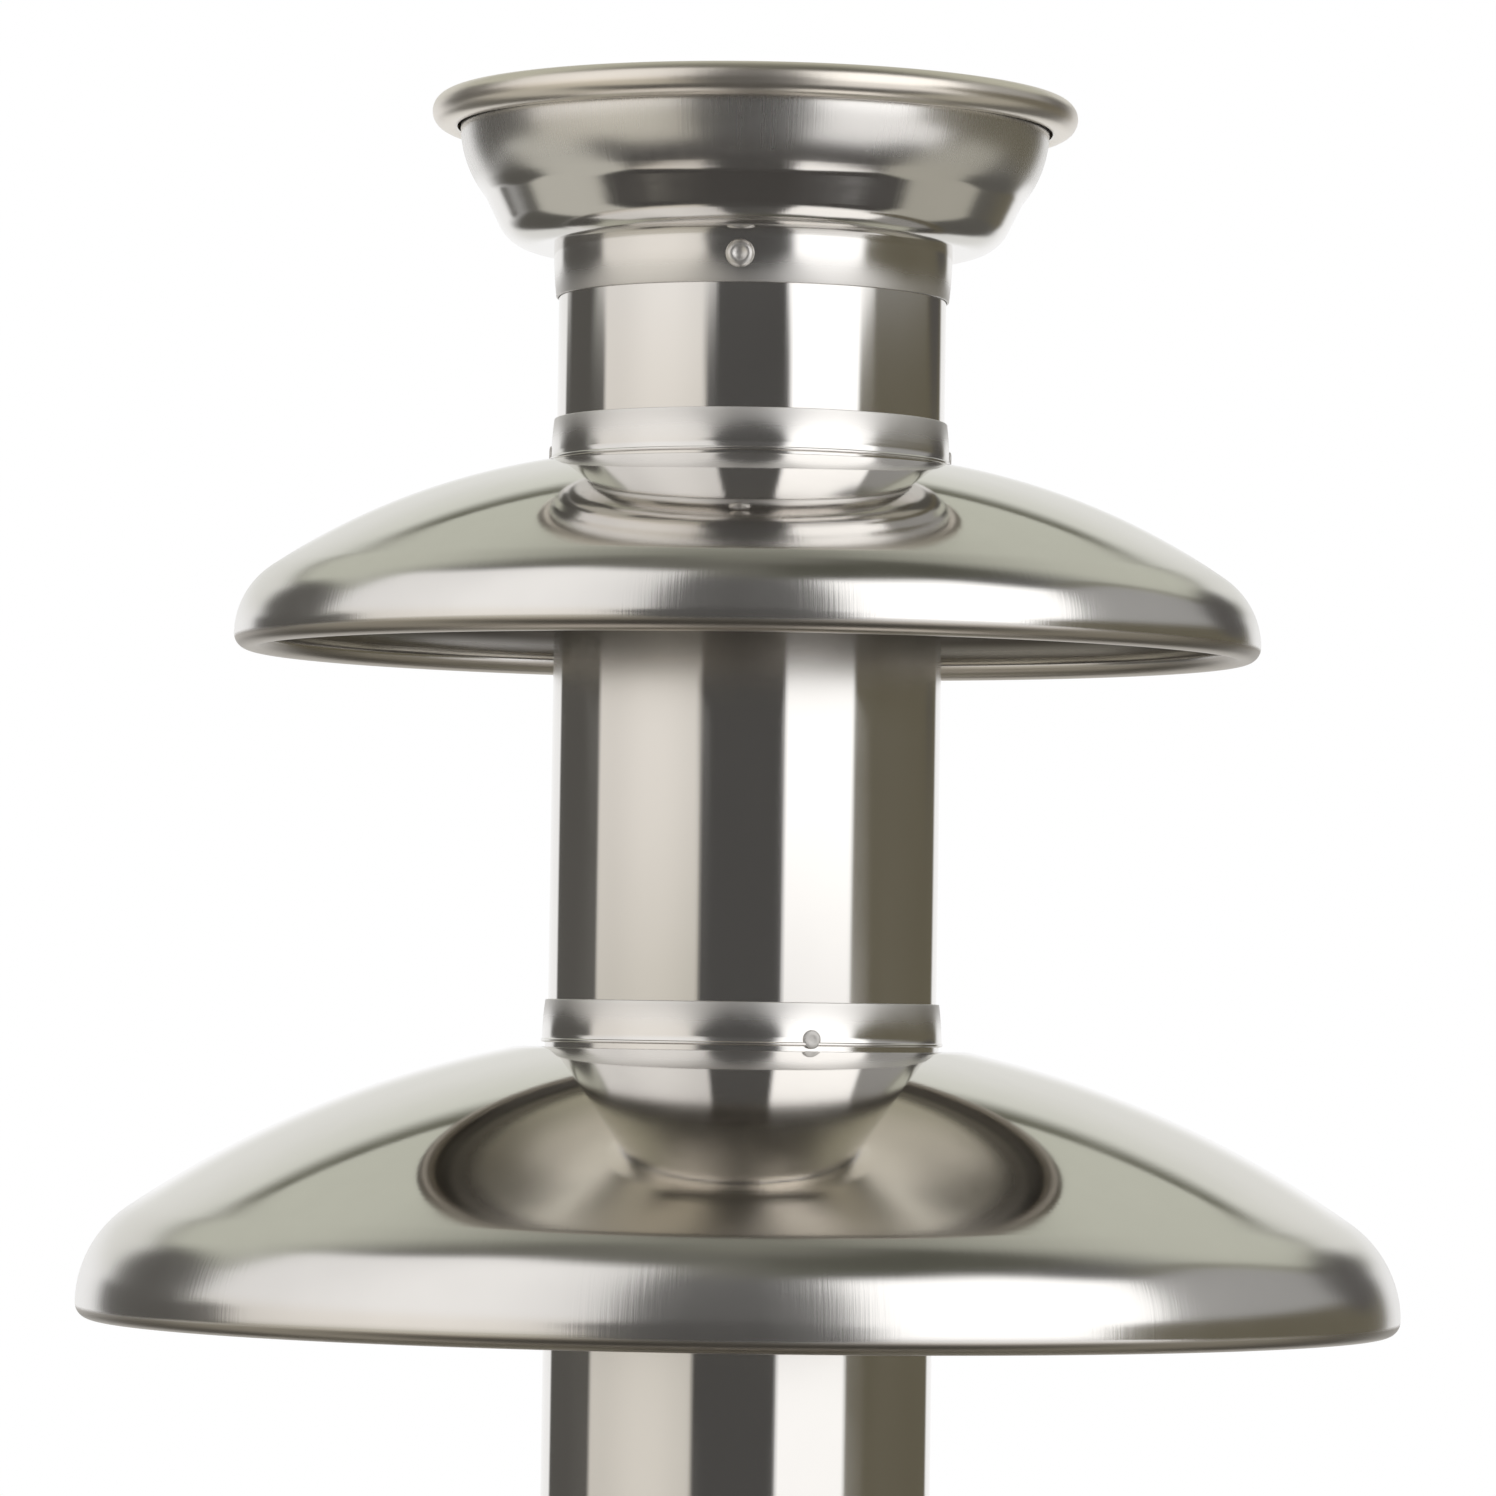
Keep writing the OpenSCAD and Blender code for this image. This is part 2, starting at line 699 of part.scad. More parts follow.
// Tubular heater: most of a ring, with a straight cold end turned down at each side of the gap
module heater_element() {
    lead_h = 14;
    color("gray") translate([0, 0, under_z - heater_d / 2]) {
        rotate([0, 0, heater_gap / 2 - 90]) rotate_extrude(angle = 360 - heater_gap)
            translate([heater_r, 0]) circle(d = heater_d);
        for (s = [-1, 1]) rotate([0, 0, s * heater_gap / 2 - 90]) translate([heater_r, 0, 0]) {
            sphere(d = heater_d);
            translate([0, 0, -lead_h]) cylinder(d = heater_d, h = lead_h);
        }
    }
}

clamp_z = under_z - heater_d - clamp_t;
clamp_stud_r = 2;
clamp_nut_h = 3;
clamp_bearing = 90;
clamp_stud_at = heater_r - heater_d / 2 - clamp_stud_r - 1.5;
clamp_out_r = heater_r + heater_d / 2 + clamp_lip;
clamp_in_r = clamp_stud_at - clamp_stud_r - clamp_lip;

// Clamp ring under the heater, open where the heater's ends come down
module heater_clamp() {
    slot = heater_gap + 24;
    color("lightgray") difference() {
        tube(clamp_out_r, clamp_in_r, clamp_z, clamp_t);
        translate([0, 0, clamp_z - 1]) rotate([0, 0, -90 - slot / 2]) rotate_extrude(angle = slot)
            square([clamp_out_r + 1, clamp_t + 2]);
        ring(frame_count, clamp_bearing, clamp_stud_at)
            translate([0, 0, clamp_z - 1]) cylinder(r = clamp_stud_r, h = clamp_t + 2);
    }
}

// Studs welded under the bowl, with the nuts that pull the clamp up
module clamp_studs() {
    color("gainsboro") ring(frame_count, clamp_bearing, clamp_stud_at) {
        translate([0, 0, clamp_z - clamp_nut_h - 1])
            cylinder(r = clamp_stud_r, h = under_z - clamp_z + clamp_nut_h + 1);
        translate([0, 0, clamp_z - clamp_nut_h]) hex(3.2 * clamp_stud_r, clamp_nut_h);
    }
}

module thermostat() {
    disc_r = 8;
    at = heater_r + heater_d + disc_r + 2;
    color("tan") rotate([0, 0, 150]) translate([at, 0, under_z]) {
        translate([0, 0, -9]) cylinder(r = disc_r, h = 9);
        for (x = [-1, 1]) translate([x * 4 - 0.4, -3, -16]) cube([0.8, 6, 7]);
    }
}

// Drive

// Half angle of a tooth at radius r, for an involute flank
function roll(r, base_r) = r <= base_r ? 0 : sqrt(r * r / (base_r * base_r) - 1) * 180 / PI;
function inv(r, base_r) = roll(r, base_r) - atan(roll(r, base_r) * PI / 180);
function half_tooth(r, n) =
    let (pitch_r = gear_m * n / 2, base_r = pitch_r * cos(pressure_angle))
    90 / n - tooth_thin / pitch_r * 90 / PI + inv(pitch_r, base_r) - inv(r, base_r);

function gear_points(n, addendum, dedendum) =
    let (pitch_r = gear_m * n / 2, root_r = pitch_r - dedendum, tip_r = pitch_r + addendum,
         base_r = pitch_r * cos(pressure_angle), start_r = max(root_r, base_r),
         flank = concat(root_r < base_r ? [root_r] : [],
                        [for (i = [0:3]) start_r + (tip_r - start_r) * i / 3]))
    [for (k = [0:n - 1], s = [-1, 1], i = [0:len(flank) - 1])
        let (r = s < 0 ? flank[i] : flank[len(flank) - 1 - i], a = 360 * k / n + s * half_tooth(r, n))
        r * [cos(a), sin(a)]];

module pinion(h) {
    linear_extrude(h) polygon(gear_points(pinion_n, pinion_addendum, wheel_addendum + root_gap));
}

module wheel(n, h) {
    linear_extrude(h) polygon(gear_points(n, wheel_addendum, pinion_addendum + root_gap));
}

shaft_r = shaft_d / 2;
shaft_z0 = case_z + case_floor_t;
shaft_z1 = floor_z + shaft_rise;
to_output = atan2(-idler_y, -idler_x);
to_motor = atan2(motor_at[1] - idler_y, motor_at[0] - idler_x);

module drive_shaft() {
    shoulder_z = high_wheel_z - 0.5;
    chamfer = 1;
    color("silver") difference() {
        union() {
            translate([0, 0, shaft_z0 - 1]) cylinder(r = journal_r, h = shoulder_z - shaft_z0 + 2);
            translate([0, 0, shoulder_z]) cylinder(r = shaft_r, h = shaft_z1 - chamfer - shoulder_z);
            translate([0, 0, shaft_z1 - chamfer])
                cylinder(r1 = shaft_r, r2 = shaft_r - chamfer, h = chamfer);
        }
        translate([-shaft_r - 1, 0, pin_z]) rotate([0, 90, 0]) cylinder(d = pin_d, h = 2 * shaft_r + 2);
    }
}

module drive_pin() {
    reach = core_r - 1;
    color("gainsboro") translate([-reach, 0, pin_z]) rotate([0, 90, 0]) cylinder(d = pin_d, h = 2 * reach);
}

module output_gear() {
    web_r = gear_m * output_n / 2 - 3.2;
    hub_r = shaft_r + 2.2;
    color("ivory") translate([0, 0, high_wheel_z]) difference() {
        rotate([0, 0, to_output + 180 + 180 / output_n]) wheel(output_n, output_t);
        translate([0, 0, -1]) cylinder(r = shaft_r, h = output_t + 2);
        translate([0, 0, output_t - 1]) difference() {
            cylinder(r = web_r, h = 2);
            translate([0, 0, -1]) cylinder(r = hub_r, h = 4);
        }
    }
}

module idler_gear() {
    color("ivory") translate([idler_x, idler_y, low_wheel_z]) difference() {
        union() {
            rotate([0, 0, to_motor]) wheel(idler_n, wheel_t);
            rotate([0, 0, to_output]) pinion(idler_top_z - low_wheel_z);
        }
        translate([0, 0, -1]) cylinder(r = axle_r + run, h = gearbox_h);
    }
}

module idler_axle() {
    color("silver") translate([idler_x, idler_y, case_z + case_floor_t / 2])
        cylinder(r = axle_r, h = gearbox_h - case_floor_t / 2 + lid_t / 2);
}

rotor_r = 13;
rotor_gap = 6;
can_wall = 1.2;
coil_gap = 0.5;

module motor_rotor() {
    rotor_z = can_z + rotor_gap;
    rotor_h = motor_h - 2 * rotor_gap;
    color("slategray") translate([motor_offset, 0, 0]) {
        translate([0, 0, rotor_z]) cylinder(r = rotor_r, h = rotor_h);
        translate([0, 0, can_z + can_wall])
            cylinder(r = axle_r, h = low_wheel_z + wheel_t - can_z - can_wall);
        translate([0, 0, low_wheel_z]) rotate([0, 0, to_motor + 180 + 180 / pinion_n]) pinion(wheel_t);
    }
}

module motor_coil() {
    color("peru") translate([motor_offset, 0, 0])
        tube(motor_d / 2 - can_wall, rotor_r + coil_gap, can_z + rotor_gap, motor_h - 2 * rotor_gap);
}

// Drawn can with a centre boss for the rotor's lower bearing; its mouth closes on the gearbox
module motor_can() {
    boss_r = 5;
    color("darkgray") translate([motor_offset, 0, can_z]) difference() {
        union() {
            tube(motor_d / 2, motor_d / 2 - can_wall, 0, motor_h);
            cylinder(r = motor_d / 2 - can_wall, h = can_wall);
            cylinder(r = boss_r, h = rotor_gap - mesh_gap);
        }
        translate([0, 0, can_wall]) cylinder(r = axle_r + run, h = motor_h);
    }
}

module gearbox_case() {
    boss_r = 5.5;
    color("gray") difference() {
        union() {
            translate([motor_offset, 0, case_z]) {
                tube(motor_d / 2, motor_d / 2 - gearbox_wall, 0, gearbox_h);
                cylinder(r = motor_d / 2 - gearbox_wall, h = case_floor_t);
            }
            translate([0, 0, case_z]) cylinder(r = boss_r, h = case_floor_t + mesh_gap);
            translate([idler_x, idler_y, case_z])
                cylinder(r = axle_boss_r, h = low_wheel_z - thrust_gap - case_z);
        }
        translate([0, 0, shaft_z0 - 1]) cylinder(r = journal_r + run, h = gearbox_h);
        translate([idler_x, idler_y, case_z + case_floor_t / 2]) cylinder(r = axle_r, h = gearbox_h);
        translate([motor_offset, 0, case_z - 1]) cylinder(r = axle_r + run, h = case_floor_t + 2);
    }
}

// Lid with three ears that screw up to the chassis plate
module gearbox_lid() {
    color("lightgray") difference() {
        translate([motor_offset, 0, lid_z]) union() {
            cylinder(d = motor_d, h = lid_t);
            ring(frame_count, 60, lid_ear_at) cylinder(r = lid_ear_r, h = lid_t);
            ring(frame_count, 60, lid_ear_at / 2) translate([-lid_ear_at / 2, -lid_ear_r, 0])
                cube([lid_ear_at, 2 * lid_ear_r, lid_t]);
            translate([idler_x - motor_offset, idler_y, idler_top_z + thrust_gap - lid_z])
                cylinder(r = axle_boss_r, h = lid_z - idler_top_z - thrust_gap);
        }
        translate([0, 0, lid_z - 1]) cylinder(r = shaft_r + run, h = lid_t + 2);
        translate([idler_x, idler_y, idler_top_z])
            cylinder(r = axle_r, h = lid_z + lid_t / 2 - idler_top_z);
        translate([motor_offset, 0, lid_z - 1]) ring(frame_count, 60, lid_ear_at)
            cylinder(r = screw_r, h = lid_t + 2);
    }
}

// Base

// Outer profile of the housing from its foot to the inner edge of its flange
function housing_profile() =
    let (foot_r = housing_d / 2, top_r = housing_top_d / 2,
         lean = atan2(foot_r - top_r, housing_h - housing_land),
         corner_c = [top_r - housing_corner_r, flange_z - housing_corner_r])
    tidy(concat(
        [[foot_r, skirt_z], [foot_r, skirt_z + housing_land]],
        arc(corner_c, housing_corner_r, lean, 90, 6),
        [[seat_r + bowl_sheet + flange_gap, flange_z]]));

// Solid inside of the housing's outer skin
module housing_solid() {
    rotate_extrude() polygon(concat([[0, skirt_z]], housing_profile(), [[0, flange_z]]));
}

panel_window_w = panel_w - 18;
panel_window_h = panel_h - 14;
inlet_wall = 2;
inlet_window_w = inlet_w + 2 * inlet_wall + 2 * drop_gap;
inlet_window_h = inlet_h + 2 * inlet_wall + 2 * drop_gap;

module housing() {
    color("silver") difference() {
        spun(housing_profile(), housing_wall);
        translate([0, -panel_y, panel_mid_z]) front_plate(panel_window_w, panel_window_h, 4, panel_y / 2);
        translate([-inlet_window_w / 2, 0, inlet_mid_z - inlet_window_h / 2])
            cube([inlet_window_w, housing_d, inlet_window_h]);
    }
}

vent_count = 12;
vent_circle_r = 34;

module base_plate() {
    color("dimgray") difference() {
        translate([0, 0, plate_z]) cylinder(d = housing_d, h = plate_t);
        translate([0, 0, plate_z - 1]) {
            ring(frame_count, post_bearing, post_circle_r) cylinder(r = screw_r, h = plate_t + 2);
            ring(frame_count, foot_bearing, foot_circle_r) cylinder(r = stud_d / 2 + run, h = plate_t + 2);
            ring(vent_count, 15, vent_circle_r) translate([-vent_len / 2, -vent_w / 2, 0])
                cube([vent_len, vent_w, plate_t + 2]);
        }
    }
}

module chassis_plate() {
    shaft_hole_r = 10;
    color("lightsteelblue") difference() {
        translate([0, 0, chassis_z]) cylinder(r = chassis_r, h = chassis_t);
        translate([0, 0, chassis_z - 1]) {
            cylinder(r = shaft_hole_r, h = chassis_t + 2);
            ring(frame_count, standoff_bearing, standoff_circle_r) cylinder(r = screw_r, h = chassis_t + 2);
            ring(frame_count, post_bearing, post_circle_r) cylinder(r = screw_r, h = chassis_t + 2);
            translate([motor_offset, 0, 0]) ring(frame_count, 60, lid_ear_at)
                cylinder(r = screw_r, h = chassis_t + 2);
            for (s = [-1, 1]) rotate([0, 0, s * heater_gap / 2 - 90]) translate([heater_r, 0, 0])
                cylinder(d = heater_d + 4, h = chassis_t + 2);
        }
    }
}

module chassis_posts() {
    color("gainsboro") ring(frame_count, post_bearing, post_circle_r) difference() {
        translate([0, 0, skirt_z]) cylinder(d = post_d, h = post_h);
        translate([0, 0, skirt_z - 1]) cylinder(r = screw_r, h = screw_bite + screw_room + 1);
        translate([0, 0, chassis_z - screw_bite - screw_room])
            cylinder(r = screw_r, h = screw_bite + screw_room + 1);
    }
}

// Screws through the chassis plate: up into the standoffs, up through the gearbox lid, down into the posts
module chassis_screws() {
    color("dimgray") {
        ring(frame_count, standoff_bearing, standoff_circle_r)
            translate([0, 0, chassis_z]) screw_up(chassis_t + screw_bite);
        translate([motor_offset, 0, lid_z]) ring(frame_count, 60, lid_ear_at)
            screw_up(lid_t + chassis_t + 1);
        ring(frame_count, post_bearing, post_circle_r)
            translate([0, 0, chassis_z + chassis_t]) mirror([0, 0, 1]) screw_up(chassis_t + screw_bite);
    }
}

module base_screws() {
    color("dimgray") ring(frame_count, post_bearing, post_circle_r)
        translate([0, 0, plate_z]) screw_up(plate_t + screw_bite);
}

// Moulded fascia: a hollow box whose back edge follows the housing
module control_panel() {
    color("black") difference() {
        translate([0, -panel_y, panel_mid_z]) front_plate(panel_w, panel_h, panel_corner, panel_y / 2);
        translate([0, panel_wall - panel_y, panel_mid_z]) front_plate(
            panel_w - 2 * panel_wall, panel_h - 2 * panel_wall, panel_corner - panel_wall, panel_y);
        housing_solid();
        translate([0, 0, panel_mid_z]) {
            translate([-control_x, -panel_y - 1, 0]) rotate([-90, 0, 0])
                cylinder(r = spindle_d / 2 + 1.5, h = panel_wall + 2);
            translate([control_x - rocker_w / 2, -panel_y - 1, -rocker_len / 2])
                cube([rocker_w, panel_wall + 2, rocker_len]);
            translate([0, -panel_y - 1, lamp_rise]) rotate([-90, 0, 0])
                cylinder(d = lamp_d - 2, h = panel_wall + 2);
        }
    }
}

knob_gap = 0.6;

// Fluted knob with a skirt and a pointer rib, bored for the spindle
module heat_knob() {
    grip_r = knob_d / 2 - 3;
    skirt_h = 3;
    flutes = 12;
    color("black") translate([-control_x, -panel_y - knob_gap, panel_mid_z]) rotate([90, 0, 0])
    difference() {
        union() {
            cylinder(d1 = knob_d, d2 = knob_d - 1, h = skirt_h);
            translate([0, 0, skirt_h]) linear_extrude(knob_h - skirt_h) difference() {
                circle(grip_r);
                for (i = [0:flutes - 1]) rotate(360 * (i + 0.5) / flutes)
                    translate([grip_r + 1.2, 0]) circle(2.2);
            }
            translate([-0.8, 2, knob_h - 0.5]) cube([1.6, grip_r - 3, 1]);
        }
        translate([0, 0, -1]) cylinder(d = spindle_d, h = knob_h - 3);
    }
}

control_box = 22;
control_box_d = 18;
spindle_in = 8;

// Spindle of the heat control, pressed into the knob
module knob_spindle() {
    color("silver") translate([-control_x, -panel_y, panel_mid_z]) rotate([90, 0, 0])
        translate([0, 0, -panel_wall - spindle_in])
            cylinder(d = spindle_d, h = panel_wall + spindle_in + knob_gap + knob_h - 4);
}

// Rotary heat control: a bushing through the panel with its switch box behind, bored for the spindle
module heat_control() {
    color("dimgray") translate([-control_x, -panel_y, panel_mid_z]) rotate([90, 0, 0]) difference() {
        union() {
            translate([-control_box / 2, -control_box / 2, -panel_wall - control_box_d])
                cube([control_box, control_box, control_box_d]);
            translate([0, 0, -panel_wall]) cylinder(r = spindle_d / 2 + 1.5, h = panel_wall);
        }
        translate([0, 0, -panel_wall - spindle_in])
            cylinder(r = spindle_d / 2 + run, h = panel_wall + spindle_in + 1);
    }
}

bezel = 2;
bezel_t = 1.2;
switch_wall = 1;
trunnion_r = 1;

module switch_body() {
    depth = 15;
    color("black") translate([control_x, -panel_y, panel_mid_z]) rotate([90, 0, 0]) difference() {
        union() {
            translate([-rocker_w / 2 - bezel, -rocker_len / 2 - bezel, 0])
                cube([rocker_w + 2 * bezel, rocker_len + 2 * bezel, bezel_t]);
            translate([-rocker_w / 2, -rocker_len / 2, -panel_wall - depth])
                cube([rocker_w, rocker_len, panel_wall + depth]);
        }
        translate([-rocker_w / 2 + switch_wall, -rocker_len / 2 + switch_wall, -5])
            cube([rocker_w - 2 * switch_wall, rocker_len - 2 * switch_wall, 10]);
        translate([-rocker_w / 2 + 0.3, 0, 0]) rotate([0, 90, 0])
            cylinder(r = trunnion_r + run, h = rocker_w - 0.6);
    }
}

// Rocker with two dished faces; it turns on two short trunnions, level with the panel's face
module rocker_button() {
    half = rocker_len / 2 - switch_wall - 0.8;
    w = rocker_w - 2 * switch_wall - 0.6;
    reach = rocker_w - 2 * switch_wall + 1;
    peak = 3.4;
    dish = 2.2;
    end_lift = 0.4;
    color("crimson") translate([control_x, -panel_y, panel_mid_z])
        rotate([90 + rocker_tilt, 0, 0]) rotate([0, 90, 0]) {
            translate([0, 0, -w / 2]) linear_extrude(w) polygon(concat(
                [[3, -half * 0.55], [3, half * 0.55]],
                [for (i = [-6:6]) let (t = abs(i) / 6)
                    [dish * (1 - t) * t - t * end_lift - peak, -half * i / 6]]));
            translate([0, 0, -reach / 2]) cylinder(r = trunnion_r, h = reach);
        }
}

module pilot_lamp() {
    lens_h = 2.6;
    color("orange") translate([0, -panel_y, panel_mid_z + lamp_rise]) rotate([90, 0, 0]) union() {
        rotate_extrude() polygon(concat([[0, 0]],
            [for (i = [0:6]) let (a = 90 * i / 6) [lamp_d / 2 * cos(a), lens_h * sin(a)]]));
        translate([0, 0, -panel_wall - 10]) cylinder(d = lamp_d - 2, h = panel_wall + 10);
    }
}

inlet_flange = 5;
inlet_proud = 1.5;
inlet_face = max(housing_d, housing_top_d) / 2 + inlet_proud;
inlet_back = inlet_face - inlet_depth - inlet_wall;
pin_spread = 7;

// Places for the inlet's blades: live, earth (set higher) and neutral
module at_blades(y) {
    for (x = [-1, 0, 1]) translate([x * pin_spread - 1, y, inlet_mid_z - 2 + (x == 0 ? 4 : 0)]) children();
}

// Power inlet: a saddle flange on the housing and a blind socket behind it
module power_inlet() {
    color("black") difference() {
        union() {
            difference() {
                translate([0, inlet_face, inlet_mid_z]) rotate([0, 0, 180])
                    front_plate(inlet_w + 2 * inlet_flange, inlet_h + 2 * inlet_flange, 4, inlet_face / 2);
                housing_solid();
            }
            translate([-inlet_w / 2 - inlet_wall, inlet_back, inlet_mid_z - inlet_h / 2 - inlet_wall])
                cube([inlet_w + 2 * inlet_wall, inlet_depth, inlet_h + 2 * inlet_wall]);
        }
        translate([0, inlet_face + 1, inlet_mid_z]) rotate([0, 0, 180])
            front_plate(inlet_w, inlet_h, 3, inlet_depth + 1);
        at_blades(inlet_back - 1) cube([2, inlet_wall + 2, 4]);
    }
}

module inlet_pins() {
    tip_back = 3;
    tail = 8;
    color("gold") at_blades(inlet_back - tail) cube([2, inlet_face - tip_back - inlet_back + tail, 4]);
}

// Terminal strip on the base plate: a ridged block with a row of clamp holes
module terminal_block() {
    poles = 3;
    pitch = 10;
    color("ivory") translate([-50, -10, skirt_z]) difference() {
        union() {
            cube([12, poles * pitch, 8]);
            for (i = [0:poles - 1]) translate([1.5, i * pitch + 1.5, 0]) cube([9, pitch - 3, 14]);
        }
        for (i = [0:poles - 1]) translate([6, i * pitch + pitch / 2, 9]) cylinder(r = 2, h = 10);
    }
}

// Feet

module foot_nuts() {
    color("silver") ring(frame_count, foot_bearing, foot_circle_r) translate([0, 0, skirt_z]) difference() {
        hex(foot_nut_across, foot_nut_h);
        translate([0, 0, -1]) cylinder(r = stud_d / 2 + run, h = foot_nut_h + 2);
    }
}

module at_foot(i) {
    rotate([0, 0, foot_bearing + 120 * i]) translate([foot_circle_r, 0, 0]) children();
}

foot_socket_h = 3;

// Ribbed rubber pad, moulded round the head of its screw
module foot_pad(i) {
    pad_top_r = pad_d / 2 - 3;
    rib = 0.8;
    color("black") at_foot(i) difference() {
        rotate_extrude() polygon([
            [0, 0], [pad_d / 2 - 1, 0], [pad_d / 2, 1], [pad_d / 2, pad_h * 0.35],
            [pad_d / 2 - rib, pad_h * 0.42], [pad_d / 2 - rib, pad_h * 0.55],
            [pad_top_r + 1, pad_h * 0.9], [pad_top_r, pad_h], [0, pad_h]]);
        translate([0, 0, pad_h - foot_socket_h]) cylinder(d = stud_d, h = foot_socket_h + 1);
    }
}

// Levelling screw with a hex collar
module foot_screw(i) {
    color("silver") at_foot(i) {
        translate([0, 0, pad_h]) hex(2.3 * stud_d, hex_h);
        translate([0, 0, pad_h - foot_socket_h]) cylinder(d = stud_d, h = foot_socket_h + hex_h + stud_len);
    }
}

crown_cup();
crown_collar();
crown_rivets();
upper_tube();
upper_dome();
upper_collar();
upper_rivets();
middle_tube();
lower_dome();
lower_collar();
lower_rivets();
lower_tube();
auger_core();
auger_flight();
auger_socket();
auger_cap();
bowl();
tower_pegs();
bowl_gasket();
shaft_bush();
bush_nut();
shaft_seal();
bowl_standoffs();
heater_element();
heater_clamp();
clamp_studs();
thermostat();
drive_shaft();
drive_pin();
output_gear();
idler_gear();
idler_axle();
motor_rotor();
motor_can();
motor_coil();
gearbox_case();
gearbox_lid();
housing();
base_plate();
chassis_plate();
chassis_posts();
chassis_screws();
base_screws();
control_panel();
heat_knob();
knob_spindle();
heat_control();
switch_body();
rocker_button();
pilot_lamp();
power_inlet();
inlet_pins();
terminal_block();
foot_nuts();
foot_pad(0);  // front_foot_pad
foot_screw(0);  // front_foot_screw
foot_pad(1);  // right_foot_pad
foot_screw(1);  // right_foot_screw
foot_pad(2);  // left_foot_pad
foot_screw(2);  // left_foot_screw
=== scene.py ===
import math

import bmesh
import bpy
from mathutils import Matrix, Vector


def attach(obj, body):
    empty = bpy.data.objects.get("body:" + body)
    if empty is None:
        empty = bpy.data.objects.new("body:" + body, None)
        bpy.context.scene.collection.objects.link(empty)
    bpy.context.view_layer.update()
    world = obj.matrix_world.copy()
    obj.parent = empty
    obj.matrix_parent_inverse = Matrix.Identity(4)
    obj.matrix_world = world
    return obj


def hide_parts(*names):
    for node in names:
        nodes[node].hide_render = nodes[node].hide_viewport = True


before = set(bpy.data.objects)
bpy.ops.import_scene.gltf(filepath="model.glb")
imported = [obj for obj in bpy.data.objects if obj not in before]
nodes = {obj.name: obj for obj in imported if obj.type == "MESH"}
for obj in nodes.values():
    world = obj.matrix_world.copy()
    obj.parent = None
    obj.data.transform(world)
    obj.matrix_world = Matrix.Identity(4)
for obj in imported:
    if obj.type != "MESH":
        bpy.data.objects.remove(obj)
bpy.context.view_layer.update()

MM = 0.001

# Heights of the part, in millimetres
floor_z = 98.0
ledge_z = 110.5
rim_z = 147.5
lower_neck_z = 281.9
upper_neck_z = 357.8
crown_z = 386.4

# Tubes and collars
tube_r = 25.4
bore_r = 24.6
socket_r = 25.48
collar_r = 26.13
collar_h = 6.2
collar_draw = 0.4
crown_collar_h = 6.4
sleeve_h = 8.0
stop_t = 0.8
leg_count = 3
notch_half = 2.65
notch_h = 7.15
arch_half = 14.495
arch_r = 8.5
intake_h = 17.0

# Tiers, their slopes in degrees
neck_r = 29.63
sheet = 0.7
hem_r = 2.0
shoulder_slope = 34.5
upper_tier_d = 134.2
upper_tier_drop = 22.6
upper_shoulder_r = 10.5
lower_tier_d = 172.4
lower_tier_drop = 33.9
lower_shoulder_r = 15.0

# Crown, its leans in degrees
crown_floor_r = 28.4
crown_corner_r = 5.6
crown_lean = 26
crown_crease_z = 6.8
crown_crease_turn = 40
crown_wall_r = 14.6
crown_rim_z = 17.8
crown_roll_r = 1.5

# Auger
core_r = 8.0
core_top = crown_z - 4
flight_r = 24.0
flight_pitch = 44.0
flight_low = floor_z + 10
flight_high = crown_z - 10

# Bowl
bowl_r = 110.0
bowl_bead_r = 2.8
bowl_corner_r = 16.0
bowl_sheet = 1.0
well_r = 72.0
well_corner_r = 5.0
ledge_w = 11.0
bush_hole_r = 7.0

# Control panel
panel_y = -94.0
panel_z = 58.0
knob_x = -24.0


# Outlines

def arc(centre, radius, start, end, steps):
    turns = [math.radians(start + (end - start) * i / steps) for i in range(steps + 1)]
    return [(centre[0] + radius * math.cos(a), centre[1] + radius * math.sin(a)) for a in turns]


def oval(width, height, step):
    """A quarter of an oval, from its side up to just short of its top."""
    turns = [math.radians(a) for a in range(0, 90, step)]
    return [(width * math.cos(a), height * math.sin(a)) for a in turns]


def without_repeats(path):
    kept = [path[0]]
    for point in path[1:]:
        if math.dist(point, kept[-1]) > 0.0005:
            kept.append(point)
    return kept


def left_of(a, b):
    length = math.dist(a, b)
    return ((a[1] - b[1]) / length, (b[0] - a[0]) / length)


def beside(path, gap):
    """A path moved to its left by gap, mitred at its corners."""
    moved = []
    last = len(path) - 1
    for i, point in enumerate(path):
        before = left_of(path[max(i - 1, 0)], path[max(i, 1)])
        after = left_of(path[min(i, last - 1)], path[min(i + 1, last)])
        m = (before[0] + after[0], before[1] + after[1])
        reach = 2 * gap / (m[0] * m[0] + m[1] * m[1])
        moved.append((point[0] + reach * m[0], point[1] + reach * m[1]))
    return moved


def eased_corner(before, corner, after, cut, steps=6):
    """A corner of an outline rounded off over the length cut on both sides."""
    def towards(a, b):
        share = cut / math.dist(a, b)
        return (a[0] + (b[0] - a[0]) * share, a[1] + (b[1] - a[1]) * share)
    a, b = towards(corner, before), towards(corner, after)
    made = []
    for i in range(steps + 1):
        t = i / steps
        w = ((1 - t) ** 2, 2 * t * (1 - t), t * t)
        made.append(tuple(w[0] * a[k] + w[1] * corner[k] + w[2] * b[k] for k in (0, 1)))
    return made


def eased_outline(points, cut):
    """A closed outline with every corner rounded off."""
    made = []
    for i, point in enumerate(points):
        made += eased_corner(points[i - 1], point, points[(i + 1) % len(points)], cut, 4)
    return made


def pressed_sheet(path, thickness):
    """Closed outline of sheet metal whose one face follows path."""
    path = without_repeats(path)
    return path + beside(path, thickness)[::-1]


